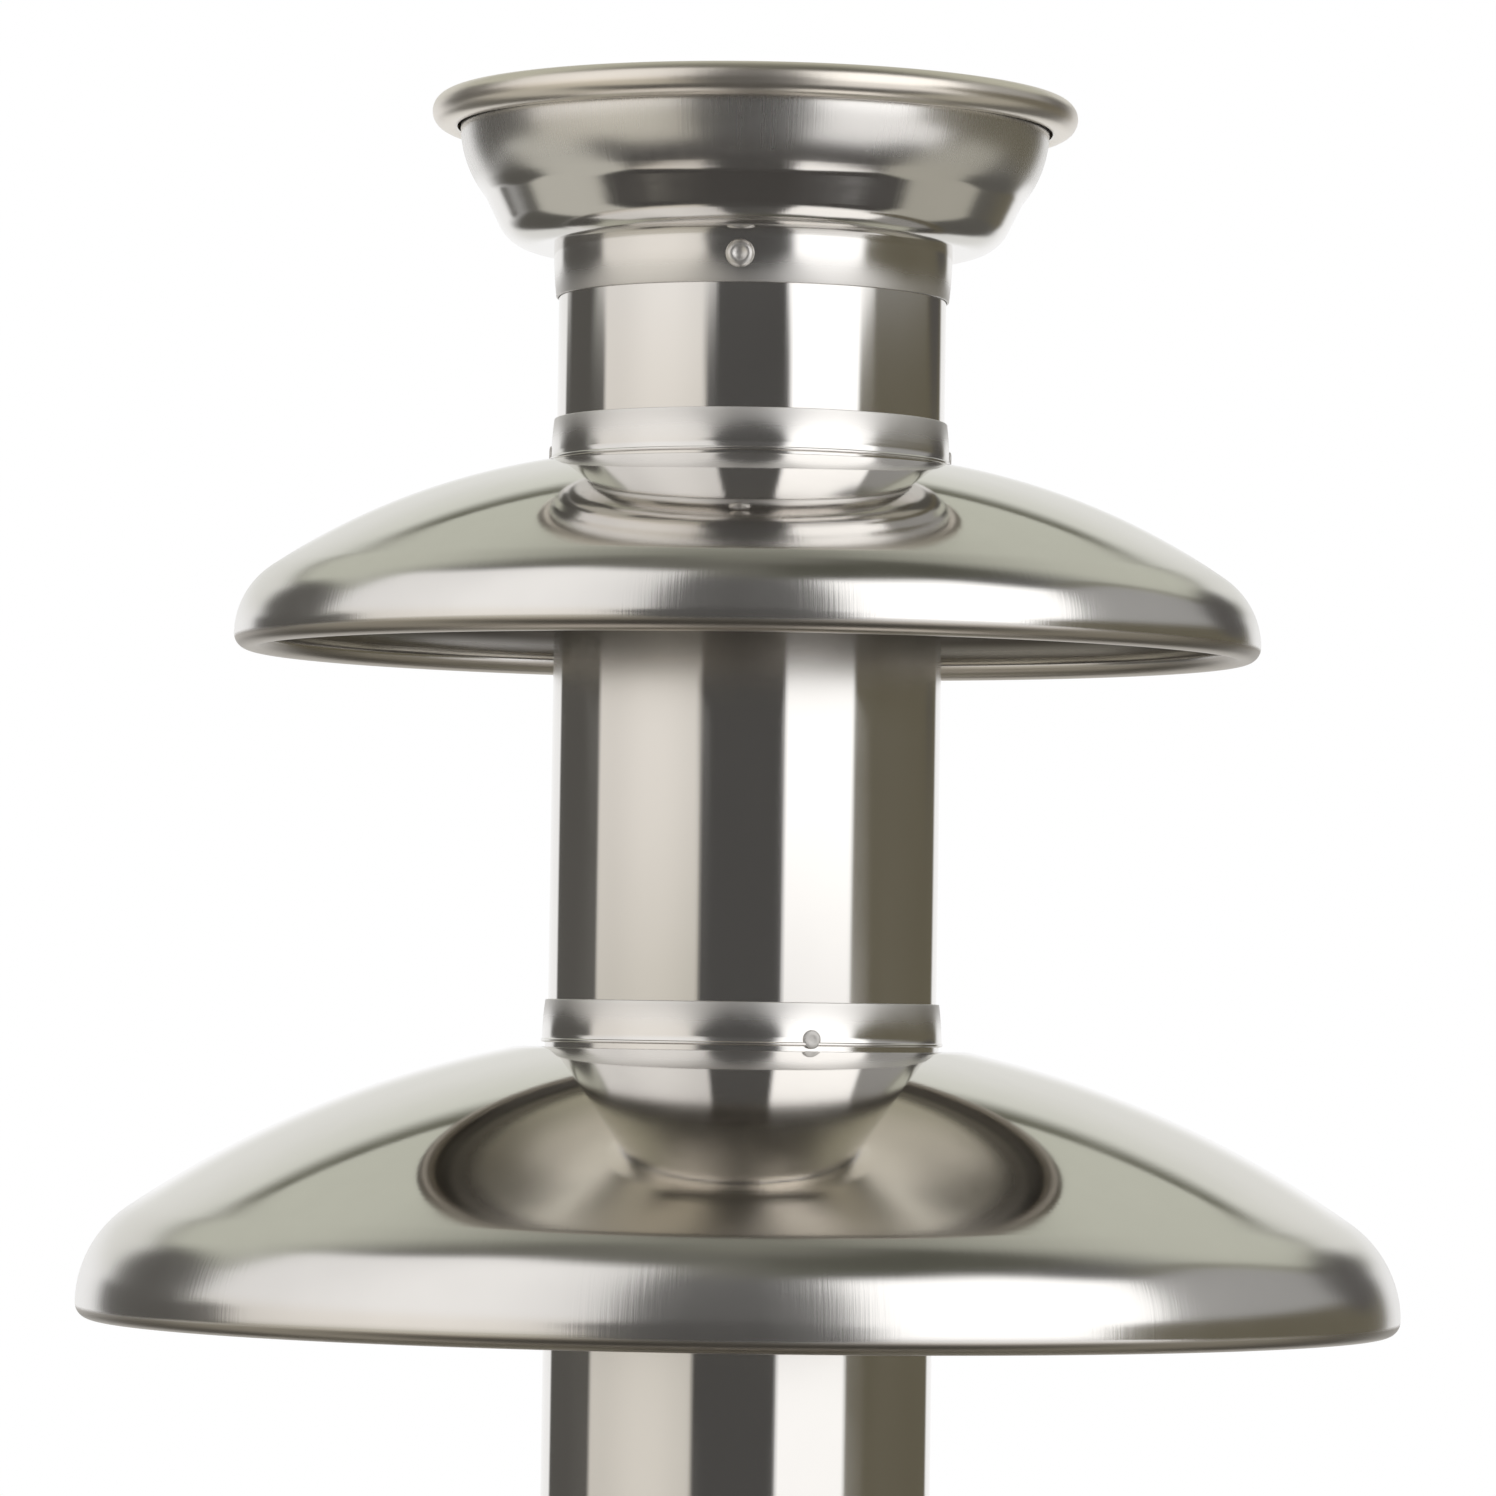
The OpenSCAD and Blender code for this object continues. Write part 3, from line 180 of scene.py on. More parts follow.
def dome_path(d, drop, shoulder_r):
    """Neck to hem of a dome, from its neck's height: shallow main arc, tight shoulder, rolled hem."""
    s = math.radians(shoulder_slope)
    run = d / 2 - neck_r - shoulder_r * (1 - math.sin(s))
    fall = drop - shoulder_r * math.cos(s)
    slope0 = 2 * math.atan2(fall, run) - s
    main_r = math.hypot(run, fall) / (2 * math.sin((s - slope0) / 2))
    main_c = (neck_r - main_r * math.sin(slope0), -main_r * math.cos(slope0))
    return without_repeats(
        [(collar_r, 0)]
        + arc(main_c, main_r, 90 - math.degrees(slope0), 90 - shoulder_slope, 44)
        + arc((d / 2 - shoulder_r, -drop), shoulder_r, 90 - shoulder_slope, 0, 26)
        + arc((d / 2 - hem_r, -drop), hem_r, 0, -205, 30))


def crown_path():
    """Floor to rim of the crown: round corner, leaning wall, soft crease, upper bowl, outward roll."""
    lean, turn = math.radians(crown_lean), math.radians(crown_crease_turn)
    corner = (crown_floor_r, crown_corner_r)
    foot = (corner[0] + crown_corner_r * math.cos(lean), corner[1] - crown_corner_r * math.sin(lean))
    crease = (foot[0] + (crown_crease_z - foot[1]) * math.tan(lean), crown_crease_z)
    upper_c = (crease[0] - crown_wall_r * math.cos(turn), crease[1] + crown_wall_r * math.sin(turn))
    upper = arc(upper_c, crown_wall_r, -crown_crease_turn, 0, 30)
    roll_c = (upper_c[0] + crown_wall_r + crown_roll_r, crown_rim_z)
    return without_repeats(
        [(bore_r, 0)] + arc(corner, crown_corner_r, -90, -crown_lean, 26)
        + eased_corner(foot, crease, upper[3], 0.45) + upper[4:]
        + arc(roll_c, crown_roll_r, 180, -120, 40))


def bowl_path():
    """Shaft hole to rim of the bowl: well, ledge, round foot, leaning wall, rolled rim."""
    bead = (bowl_r - bowl_bead_r, rim_z)
    corner = (well_r + ledge_w, ledge_z + bowl_corner_r)
    between = (bead[0] - corner[0], bead[1] - corner[1])
    swing = math.acos((bowl_corner_r + bowl_bead_r) / math.hypot(*between))
    lean = math.degrees(swing - math.atan2(between[1], between[0]))
    return without_repeats(
        [(bush_hole_r, floor_z)]
        + arc((well_r - well_corner_r, floor_z + well_corner_r), well_corner_r, -90, 0, 14)
        + arc((well_r + well_corner_r, ledge_z - well_corner_r), well_corner_r, 180, 90, 14)
        + arc(corner, bowl_corner_r, -90, -lean, 24)
        + arc(bead, bowl_bead_r, 180 - lean, -110, 36))


def raised(path, z):
    return [(r, h + z) for r, h in path]


# Meshes

def piece(name, bm, crease=25):
    mesh = bpy.data.meshes.new(name)
    bm.to_mesh(mesh)
    bm.free()
    mesh.shade_smooth()
    mesh.set_sharp_from_angle(angle=math.radians(crease))
    made = bpy.data.objects.new(name, mesh)
    bpy.context.scene.collection.objects.link(made)
    return made


def turn_into(bm, outline, sides, place=None):
    """Turns a closed outline about the axis. A point on the axis closes the form there."""
    place = place or Matrix.Identity(4)
    rings = []
    for r, z in outline:
        if r < 1e-6:
            rings.append([bm.verts.new(place @ Vector((0, 0, z * MM)))] * sides)
            continue
        ring = []
        for k in range(sides):
            a = 2 * math.pi * k / sides
            ring.append(bm.verts.new(place @ Vector((r * math.cos(a) * MM, r * math.sin(a) * MM, z * MM))))
        rings.append(ring)
    for i, ring in enumerate(rings):
        other = rings[(i + 1) % len(rings)]
        for k in range(sides):
            n = (k + 1) % sides
            corners = []
            for v in (ring[k], ring[n], other[n], other[k]):
                if v not in corners:
                    corners.append(v)
            if len(corners) > 2:
                bm.faces.new(corners)


def turned(name, outline, sides=288, place=None):
    bm = bmesh.new()
    turn_into(bm, outline, sides, place)
    bmesh.ops.recalc_face_normals(bm, faces=bm.faces)
    return piece(name, bm)


def tube_outline(z0, z1):
    return eased_outline([(bore_r, z0), (tube_r, z0), (tube_r, z1), (bore_r, z1)], 0.2)


def foot_edge(bearing):
    """Height of the lower tube's edge above the bowl: arched intakes, and notches over the pegs."""
    step = 360 / leg_count
    from_leg = (bearing + step / 2) % step - step / 2
    if abs(tube_r * math.sin(math.radians(from_leg))) < notch_half:
        return notch_h
    from_arch = abs(tube_r * math.sin(math.radians(bearing % step - step / 2)))
    into_corner = from_arch - (arch_half - arch_r)
    if from_arch > arch_half:
        return 0.0
    if into_corner < 0:
        return intake_h
    return intake_h - arch_r + math.sqrt(max(0.0, arch_r ** 2 - into_corner ** 2))


def legged_tube(name, z0, z1):
    """The lowest tube: a wall whose lower edge follows the legs, arches and notches."""
    notch = math.degrees(math.asin(notch_half / tube_r))
    arch = math.degrees(math.asin(arch_half / tube_r))
    plain_h = 22
    edge_gap = 0.004
    wall_steps = 576
    bearings = {360 * i / wall_steps for i in range(wall_steps)}
    for i in range(leg_count):
        leg = 360 / leg_count * i
        middle = leg + 180 / leg_count
        for edge in (leg - notch, leg + notch, middle - arch, middle + arch):
            bearings |= {(edge - edge_gap) % 360, (edge + edge_gap) % 360}
    bm = bmesh.new()
    grids = []
    bearings = sorted(bearings)
    for r in (tube_r, bore_r):
        grid = []
        for b in bearings:
            a = math.radians(b - 90)
            low = foot_edge(b)
            heights = [low, low + 0.4 * (plain_h - low), plain_h, z1 - z0]
            grid.append([bm.verts.new((r * math.cos(a) * MM, r * math.sin(a) * MM, (z0 + h) * MM))
                         for h in heights])
        grids.append(grid)
    outer, inner = grids
    count = len(bearings)
    for i in range(count):
        n = (i + 1) % count
        for k in range(3):
            bm.faces.new((outer[i][k], outer[n][k], outer[n][k + 1], outer[i][k + 1]))
            bm.faces.new((inner[n][k], inner[i][k], inner[i][k + 1], inner[n][k + 1]))
        bm.faces.new((inner[i][0], inner[n][0], outer[n][0], outer[i][0]))
        bm.faces.new((outer[i][3], outer[n][3], inner[n][3], inner[i][3]))
    return piece(name, bm, 30)


def rivet_heads(name, z, first, head_d, head_h):
    """Two rivet heads on a collar: a rounded ring with a shallow pit, on a shank through the wall."""
    rim = head_d / 2
    shank_r, shank_end, seat = 1.0, -0.6, -0.05
    ring = ((1.0, 0.1), (0.97, 0.35), (0.9, 0.62), (0.8, 0.84), (0.68, 0.97), (0.57, 1.0))
    pit = ((0.46, 0.93), (0.36, 0.8), (0.25, 0.7), (0.12, 0.65), (0, 0.64))
    shank = [(0, shank_end), (shank_r, shank_end), (shank_r, seat), (rim, seat)]
    outline = shank + [(rim * share, head_h * height) for share, height in ring + pit]
    bm = bmesh.new()
    for i in range(2):
        a = math.radians(first + 180 * i)
        out = Vector((math.sin(a), -math.cos(a), 0))
        side = Vector((math.cos(a), math.sin(a), 0))
        place = Matrix.Translation(out * collar_r * MM + Vector((0, 0, z * MM)))
        place = place @ Matrix((side, out.cross(side), out)).transposed().to_4x4()
        turn_into(bm, outline, 40, place)
    bmesh.ops.recalc_face_normals(bm, faces=bm.faces)
    return piece(name, bm, 40)


def helical_flight(name, z0, z1, pitch, root_r, tip_r):
    """The auger's flight: a ramp with a fillet at its root and a rounded tip."""
    section = [(root_r - 0.3, -0.9), (root_r + 0.35, -0.2), (root_r + 1.2, 0.05), (tip_r - 1.6, 0.75),
               (tip_r - 0.35, 0.95), (tip_r, 1.25), (tip_r, 1.6), (tip_r - 0.35, 1.95),
               (root_r + 1.2, 2.0), (root_r + 0.35, 2.25), (root_r - 0.3, 2.95)]
    thickness = 2
    turn_steps = 96
    steps = round((z1 - z0 - thickness) / pitch * turn_steps)
    bm = bmesh.new()
    rings = []
    for i in range(steps + 1):
        a = 2 * math.pi * i / turn_steps
        rise = z0 + pitch * i / turn_steps
        rings.append([bm.verts.new((r * math.cos(a) * MM, r * math.sin(a) * MM, (rise + h) * MM))
                      for r, h in section])
    for a, b in zip(rings, rings[1:]):
        for k in range(len(section)):
            n = (k + 1) % len(section)
            bm.faces.new((a[k], b[k], b[n], a[n]))
    bm.faces.new(rings[0])
    bm.faces.new(rings[-1][::-1])
    bmesh.ops.recalc_face_normals(bm, faces=bm.faces)
    return piece(name, bm, 50)


def eased(node, width, segments=2):
    """A moulded copy of a solid: the same form with its sharp edges rounded."""
    mesh = nodes[node].data.copy()
    normals = mesh.attributes.get("custom_normal")
    if normals:
        mesh.attributes.remove(normals)
    bm = bmesh.new()
    bm.from_mesh(mesh)
    bmesh.ops.remove_doubles(bm, verts=bm.verts, dist=0.002 * MM)
    bmesh.ops.dissolve_limit(bm, angle_limit=math.radians(0.5), verts=bm.verts, edges=bm.edges)
    sharp_turn = math.radians(30)
    sharp = [e for e in bm.edges if len(e.link_faces) == 2 and e.calc_face_angle(0) > sharp_turn]
    bmesh.ops.bevel(bm, geom=sharp, offset=width * MM, segments=segments, profile=0.5, affect="EDGES",
                    clamp_overlap=True)
    return piece(node + "_moulded", bm, 40)


# Shaders

steel = (0.80, 0.78, 0.755)


class Wire:
    """An output of a shader node. Sums on it add Math nodes to its tree."""

    def __init__(self, tree, socket=None):
        self.tree = tree
        self.socket = socket

    def node(self, kind, settings=None, values=None, out=0):
        made = self.tree.nodes.new(kind)
        for key, setting in (settings or {}).items():
            setattr(made, key, setting)
        for key, value in (values or {}).items():
            if isinstance(value, Wire):
                self.tree.links.new(value.socket, made.inputs[key])
            else:
                made.inputs[key].default_value = value
        return Wire(self.tree, made.outputs[out] if made.outputs else None)

    def other(self, out):
        return Wire(self.tree, self.socket.node.outputs[out])

    def math(self, operation, *values):
        return self.node("ShaderNodeMath", {"operation": operation}, dict(enumerate(values)))

    def __add__(self, other):
        return self.math("ADD", self, other)

    def __radd__(self, other):
        return self.math("ADD", other, self)

    def __sub__(self, other):
        return self.math("SUBTRACT", self, other)

    def __rsub__(self, other):
        return self.math("SUBTRACT", other, self)

    def __mul__(self, other):
        return self.math("MULTIPLY", self, other)

    def __rmul__(self, other):
        return self.math("MULTIPLY", other, self)

    def __truediv__(self, other):
        return self.math("DIVIDE", self, other)

    def __rtruediv__(self, other):
        return self.math("DIVIDE", other, self)

    def __pow__(self, other):
        return self.math("POWER", self, other)

    def __abs__(self):
        return self.math("ABSOLUTE", self)

    def smooth(self, low, high):
        """0 below low, 1 above high, and a soft rise between them."""
        return self.node("ShaderNodeMapRange", {"interpolation_type": "SMOOTHSTEP"},
                         {"Value": self, "From Min": low, "From Max": high})

    def band(self, low, high, soft):
        """1 between low and high, with edges as wide as soft."""
        half = soft / 2
        return self.smooth(low - half, low + half) * (1 - self.smooth(high - half, high + half))

    def mix(self, first, second):
        """A colour from first to second, by this share."""
        return self.node("ShaderNodeMix", {"data_type": "RGBA"},
                         {0: self, 6: as_colour(first), 7: as_colour(second)}, 2)


def as_colour(value):
    return value if isinstance(value, Wire) else (*value, 1.0)


def axes(start, out="Object"):
    """The three coordinates of the shaded point, in metres of the part's frame."""
    x = start.node("ShaderNodeSeparateXYZ", {}, {0: start.node("ShaderNodeTexCoord", out=out)})
    return x, x.other(1), x.other(2)


def about_axis(x, y):
    """Distance of the shaded point from the tower's axis, and its direction from the axis."""
    r = (x * x + y * y) ** 0.5
    return r, x / (r + 1e-5), y / (r + 1e-5)


def noise(start, x, y, z, detail=2.0, rough=0.5):
    spot = start.node("ShaderNodeCombineXYZ", {}, {0: x, 1: y, 2: z})
    return start.node("ShaderNodeTexNoise", {}, {
        "Vector": spot, "Scale": 1.0, "Detail": detail, "Roughness": rough})


def shaded(tint, share):
    return tuple(c * share for c in tint)


def dimmed(start, colour, share):
    return start.node("ShaderNodeVectorMath", {"operation": "SCALE"}, {0: colour, "Scale": share})


def new_finish(name):
    material = bpy.data.materials.new(name)
    material.use_nodes = True
    material.node_tree.nodes.clear()
    return material, Wire(material.node_tree)


def lay(start, values):
    shader = start.node("ShaderNodeBsdfPrincipled", {}, values)
    start.node("ShaderNodeOutputMaterial", {}, {"Surface": shader})


def dented(start, height, depth):
    return start.node("ShaderNodeBump", {}, {"Strength": 1.0, "Distance": depth, "Height": height})


def spun_metal(name, tint, rough, edge_rough=None, edge=None, inside=None, hem=None,
               ring=2.0e-6, streak=3.0e-6, smear=0.0, across=0.25):
    """Metal spun on a lathe: fine rings round the axis, wiping streaks across them, soft clouds.

    A dome is satin from edge on, and its underside is dull, coloured with a painted pale reflection
    nearer the neck and painted shade that darkens towards the hem.
    """
    material, start = new_finish(name)
    x, y, z = axes(start)
    r, ux, uy = about_axis(x, y)
    along = r - z
    rings = noise(start, along * 2400, ux * 1.3, uy * 1.3, 3.0)
    wipes = noise(start, along * 70, ux * 190, uy * 190, 2.0, 0.6)
    clouds = noise(start, x * 60, y * 60, z * 60, 3.0)
    rubs = noise(start, along * 160, ux * 14, uy * 14, 3.0)
    base = rough
    if edge:
        low, high = edge
        band = r.smooth(low * MM, high * MM)
        base = rough + (edge_rough - rough) * band
        streak = streak * (0.4 + 1.8 * band)
    shade = (clouds * 0.6 + rubs * 0.4).smooth(0.3, 0.75)
    colour = shade.mix(shaded(tint, 0.965), tint)
    if inside:
        hem_edge, hem_z = hem
        # Painted light and shade on the underside: a pale painted reflection nearer the neck, painted shade
        # further out, a deep painted shadow just inside the hem, and painted shade on the hem's roll.
        bright, painted_shade_tint = (0.93, 0.885, 0.79), (0.36, 0.335, 0.3)
        dark, painted_hem_shade = (0.14, 0.13, 0.117), (0.46, 0.42, 0.37)
        inner = r.smooth((hem_edge - 12) * MM, (hem_edge - 7) * MM).mix(bright, painted_shade_tint)
        inner = r.smooth((hem_edge - 5.5) * MM, (hem_edge - 3.5) * MM).mix(inner, dark)
        inner = z.smooth((hem_z - 0.2) * MM, (hem_z + 0.6) * MM).mix(painted_hem_shade, inner)
        under = 1 - axes(start, "Normal")[2].smooth(-0.35, -0.05)
        base = base + (inside - rough) * under
        colour = under.mix(colour, inner)
    lay(start, {
        "Base Color": colour,
        "Metallic": 1.0,
        "Roughness": base + 0.05 * (clouds - 0.5) + 0.03 * (rubs - 0.5),
        "Anisotropic": smear,
        "Anisotropic Rotation": across,
        "Normal": dented(start, rings * ring + wipes * streak, 1.0),
    })
    return material


def crown_metal():
    """The crown: bright below the crease, satin and wiped upright above it, with a dull warm bead."""
    material, start = new_finish("spun_steel_crown")
    x, y, z = axes(start)
    r, ux, uy = about_axis(x, y)
    wall = z.smooth((crown_z + 7.0) * MM, (crown_z + 9.5) * MM)
    bead = r.smooth(38.9 * MM, 39.5 * MM)
    rings = noise(start, (r - z) * 2400, ux * 1.3, uy * 1.3, 3.0)
    wipes = noise(start, (r - z) * 40, ux * 120, uy * 120, 3.0, 0.6)
    clouds = noise(start, x * 60, y * 60, z * 60, 3.0)
    ripple = noise(start, x * 230, y * 230, z * 320, 2.0)
    warm = bead.mix(steel, (0.82, 0.765, 0.69))
    height = rings * 3.0e-6 + wipes * (3.0e-6 + 4.0e-6 * wall) + ripple * 1.4e-5
    lay(start, {
        "Base Color": clouds.smooth(0.3, 0.75).mix(dimmed(start, warm, 0.965), warm),
        "Metallic": 1.0,
        "Roughness": 0.14 + 0.13 * wall + 0.03 * bead + 0.05 * (clouds - 0.5) + 0.05 * (wipes - 0.5),
        "Normal": dented(start, height, 1.0),
    })
    return material


def collar_metal(name, joined_z, free_z):
    """A collar: clear reflections where it joins its tier or crown, satin towards its free edge."""
    material, start = new_finish(name)
    x, y, z = axes(start)
    ux, uy = about_axis(x, y)[1:]
    rings = noise(start, z * 2400, ux * 1.3, uy * 1.3, 3.0)
    clouds = noise(start, x * 130, y * 130, z * 130, 3.0)
    share = (z - joined_z * MM) / ((free_z - joined_z) * MM)
    satin = (share + 0.25 * (clouds - 0.5)).smooth(0.3, 1.0)
    lay(start, {
        "Base Color": clouds.smooth(0.3, 0.75).mix(shaded(steel, 0.965), steel),
        "Metallic": 1.0,
        "Roughness": 0.15 + 0.27 * satin + 0.04 * (clouds - 0.5),
        "Normal": dented(start, rings * 3.0e-6, 1.0),
    })
    return material


def drawn_metal():
    """Polished drawn tube: crisp, with faint draw lines along it."""
    material, start = new_finish("polished_tube_steel")
    x, y, z = axes(start)
    lines = noise(start, x * 3200, y * 3200, z * 30, 2.0)
    clouds = noise(start, x * 70, y * 70, z * 40, 3.0)
    lay(start, {
        "Base Color": clouds.smooth(0.3, 0.75).mix(shaded(steel, 0.97), steel),
        "Metallic": 1.0,
        "Roughness": 0.12 + 0.04 * (clouds - 0.5),
        "Anisotropic": 1.0,
        "Anisotropic Rotation": 0.25,
        "Normal": dented(start, lines, 1.2e-6),
    })
    return material


def plain_metal(name, tint, rough, grain=900, depth=4.0e-6, worn=0.08):
    """Plated or milled metal: a fine grain and small differences in gloss."""
    material, start = new_finish(name)
    x, y, z = axes(start)
    fine = noise(start, x * grain, y * grain, z * grain, 2.0)
    clouds = noise(start, x * 90, y * 90, z * 90, 3.0)
    lay(start, {
        "Base Color": clouds.smooth(0.25, 0.8).mix(shaded(tint, 0.88), tint),
        "Metallic": 1.0,
        "Roughness": rough + worn * (clouds - 0.5) + 0.05 * (fine - 0.5),
        "Normal": dented(start, fine, depth),
    })
    return material


def moulded(name, tint, rough, grain=2600, depth=8.0e-6, mottle=0.06, coat=0.0):
    """Moulded plastic or rubber: a spark-eroded grain, a little mottling."""
    material, start = new_finish(name)
    x, y, z = axes(start)
    fine = noise(start, x * grain, y * grain, z * grain, 3.0, 0.6)
    clouds = noise(start, x * 120, y * 120, z * 120, 3.0)
    lay(start, {
        "Base Color": clouds.smooth(0.25, 0.8).mix(shaded(tint, 1 - 2 * mottle), tint),
        "Roughness": rough + 0.08 * (clouds - 0.5) + 0.06 * (fine - 0.5),
        "Coat Weight": coat,
        "Coat Roughness": 0.12,
        "Normal": dented(start, fine, depth),
    })
    return material


def panel_finish():
    """The fascia: grained black plastic with a printed heat scale round the knob."""
    material, start = new_finish("fascia_plastic")
    x, y, z = axes(start)
    fine = noise(start, x * 2400, y * 2400, z * 2400, 3.0, 0.6)
    clouds = noise(start, x * 110, y * 110, z * 110, 3.0)
    dx, dz = x - knob_x * MM, z - panel_z * MM
    r = (dx * dx + dz * dz) ** 0.5
    turn = start.math("ARCTAN2", dx, 0 - dz) * (180 / math.pi)
    half_step = 13.5
    ticks = start.math("PINGPONG", turn + 180.0, half_step) / half_step
    on_ring = r.band(16.8 * MM, 18.6 * MM, 0.3 * MM) * (1 - ticks.smooth(0.06, 0.1))
    front = 1 - y.smooth((panel_y + 0.2) * MM, (panel_y + 0.4) * MM)
    scale = on_ring * abs(turn).smooth(42, 44) * front
    black = clouds.mix((0.022, 0.022, 0.024), (0.032, 0.032, 0.034))
    lay(start, {
        "Base Color": scale.mix(black, (0.75, 0.75, 0.73)),
        "Roughness": 0.42 + 0.1 * (clouds - 0.5) + 0.08 * (fine - 0.5),
        "Normal": dented(start, fine * (1 - scale), 8.0e-6),
    })
    return material


def knob_finish():
    """Black knob with a painted pointer."""
    material, start = new_finish("knob_plastic_pointer")
    x, y, z = axes(start)
    fine = noise(start, x * 2600, y * 2600, z * 2600, 3.0, 0.6)
    clouds = noise(start, x * 130, y * 130, z * 130, 3.0)
    line = 1 - abs(x - knob_x * MM).smooth(0.7 * MM, 0.9 * MM)
    front = 1 - y.smooth((panel_y - 12.8) * MM, (panel_y - 12.6) * MM)
    pointer = line * z.smooth((panel_z + 1.9) * MM, (panel_z + 2.1) * MM) * front
    black = clouds.mix((0.02, 0.02, 0.021), (0.03, 0.03, 0.031))
    lay(start, {
        "Base Color": pointer.mix(black, (0.8, 0.79, 0.76)),
        "Roughness": 0.36 + 0.1 * (clouds - 0.5) + 0.08 * (fine - 0.5),
        "Normal": dented(start, fine * (1 - pointer), 7.0e-6),
    })
    return material


# Finishes

upper_steel = spun_metal("spun_steel_upper_dome", steel, 0.06, edge_rough=0.17, edge=(55, 64), inside=0.22,
                         hem=(upper_tier_d / 2, upper_neck_z - upper_tier_drop), smear=0.5, across=0.0)
lower_steel = spun_metal("spun_steel_lower_dome", steel, 0.06, edge_rough=0.18, edge=(73, 83), inside=0.22,
                         hem=(lower_tier_d / 2, lower_neck_z - lower_tier_drop), smear=0.5, across=0.0)
crown_steel = crown_metal()
crown_collar_steel = collar_metal("satin_crown_collar", crown_z, crown_z - crown_collar_h)
upper_collar_steel = collar_metal("satin_upper_collar", upper_neck_z, upper_neck_z + collar_h)
lower_collar_steel = collar_metal("satin_lower_collar", lower_neck_z, lower_neck_z + collar_h)
tube_steel = drawn_metal()
rivet_steel = plain_metal("rivet_steel_polished", steel, 0.4)
dull_rivet_steel = plain_metal("rivet_steel_satin", steel, 0.6)
bowl_steel = spun_metal("spun_bowl_steel", steel, 0.17, ring=5.0e-6, smear=0.3)
housing_steel = spun_metal("brushed_housing_steel", (0.72, 0.705, 0.685), 0.27,
                           ring=7.0e-6, streak=1.0e-6, smear=0.5)
plated = plain_metal("plated_screw_steel", (0.66, 0.66, 0.64), 0.3)
shaft_steel = plain_metal("ground_shaft_steel", (0.74, 0.73, 0.72), 0.2)
zinc = plain_metal("zinc_sheet", (0.62, 0.63, 0.62), 0.4, 500, 8.0e-6, 0.16)
brass = plain_metal("turned_brass", (0.78, 0.57, 0.28), 0.26)
copper = plain_metal("enamelled_copper", (0.72, 0.33, 0.17), 0.3, 1600, 3.0e-5)
motor_steel = plain_metal("drawn_motor_can", (0.55, 0.56, 0.56), 0.34)
rotor_steel = plain_metal("rotor_laminations", (0.36, 0.36, 0.37), 0.42)
sheath = plain_metal("heater_sheath_steel", (0.33, 0.31, 0.29), 0.46, 700, 1.0e-5, 0.18)
auger_white = moulded("auger_white_plastic", (0.83, 0.82, 0.78), 0.34, 1800, 4.0e-6, 0.02)
socket_blue = moulded("auger_socket_plastic", (0.42, 0.47, 0.52), 0.4)
nylon = moulded("gear_natural_nylon", (0.80, 0.77, 0.67), 0.38, 1800, 5.0e-6, 0.03)
rubber = moulded("black_pad_rubber", (0.028, 0.028, 0.028), 0.62, 1500, 2.0e-5)
gasket = moulded("grey_gasket_rubber", (0.10, 0.10, 0.10), 0.6, 1500, 2.0e-5)
seal = moulded("red_seal_rubber", (0.42, 0.07, 0.05), 0.48, 1500, 1.4e-5)
case_plastic = moulded("gearbox_grey_plastic", (0.20, 0.205, 0.21), 0.45)
control_plastic = moulded("control_body_plastic", (0.09, 0.085, 0.08), 0.5)
terminal_plastic = moulded("terminal_cream_plastic", (0.72, 0.69, 0.60), 0.45)
black_plastic = moulded("switch_black_plastic", (0.024, 0.024, 0.025), 0.4)
red_plastic = moulded("rocker_red_plastic", (0.46, 0.025, 0.03), 0.28, 3000, 3.0e-6, 0.03, 0.25)
base_paint = moulded("base_plate_paint", (0.035, 0.035, 0.037), 0.5, 700, 3.0e-5)
lens = moulded("amber_lamp_lens", (0.78, 0.26, 0.03), 0.14, 900, 6.0e-6, 0.05, 0.6)
fascia = panel_finish()
knob_black = knob_finish()


# Pieces

def fit(made, body, slot, finish, *stands_for):
    """Gives a piece its finish, sets it on its body and hides the solids that it stands for."""
    made.data.materials.clear()
    made.data.materials.append(finish)
    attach(made, body)
    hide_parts(*stands_for)


def collar_outline(z):
    """A tier's collar: sleeve below, a seam with a small lip, a barrelled wall, stop ring inside."""
    drawn_r = collar_r - collar_draw
    seam = [(collar_r, -0.1), (drawn_r, 0.0), (drawn_r, 0.6)]
    seam += arc((collar_r - 0.1, 0.9), 0.25, -100, 60, 10)
    wall = [(collar_r - collar_draw * (i / 10) ** 2, collar_h * i / 10) for i in range(2, 10)]
    lip = eased_corner(wall[-1], (drawn_r, collar_h), (socket_r, collar_h), 0.12, 4)
    stop = [(socket_r, 0), (bore_r, 0), (bore_r, -stop_t), (socket_r, -stop_t)]
    sleeve = [(socket_r, -sleeve_h), (collar_r, -sleeve_h)]
    return raised(sleeve + seam + wall + lip + [(socket_r, collar_h)] + stop, z)


def crown_collar_outline(z):
    """The crown's collar: a barrelled wall that hangs from the crown's floor."""
    wall = [(collar_r - collar_draw * (i / 10) ** 2, -crown_collar_h * i / 10) for i in range(10)]
    edge = (collar_r - collar_draw, -crown_collar_h)
    lip = eased_corner(wall[-1], edge, (socket_r, 0.3 - crown_collar_h), 0.12, 4)
    return raised(wall + lip + [(socket_r, -crown_collar_h), (socket_r, 0)], z)


crown_cup = turned("crown_cup_spun", raised(pressed_sheet(crown_path(), sheet), crown_z))
fit(crown_cup, "crown", "spun_steel", crown_steel, "crown_cup")
crown_collar = turned("crown_collar_satin", crown_collar_outline(crown_z))
fit(crown_collar, "crown", "collar_steel", crown_collar_steel, "crown_collar")
crown_rivets = rivet_heads("crown_rivet_heads", crown_z - 2.8, first=-3.7, head_d=3.7, head_h=0.7)
fit(crown_rivets, "crown", "rivet_steel", rivet_steel, "crown_rivets")

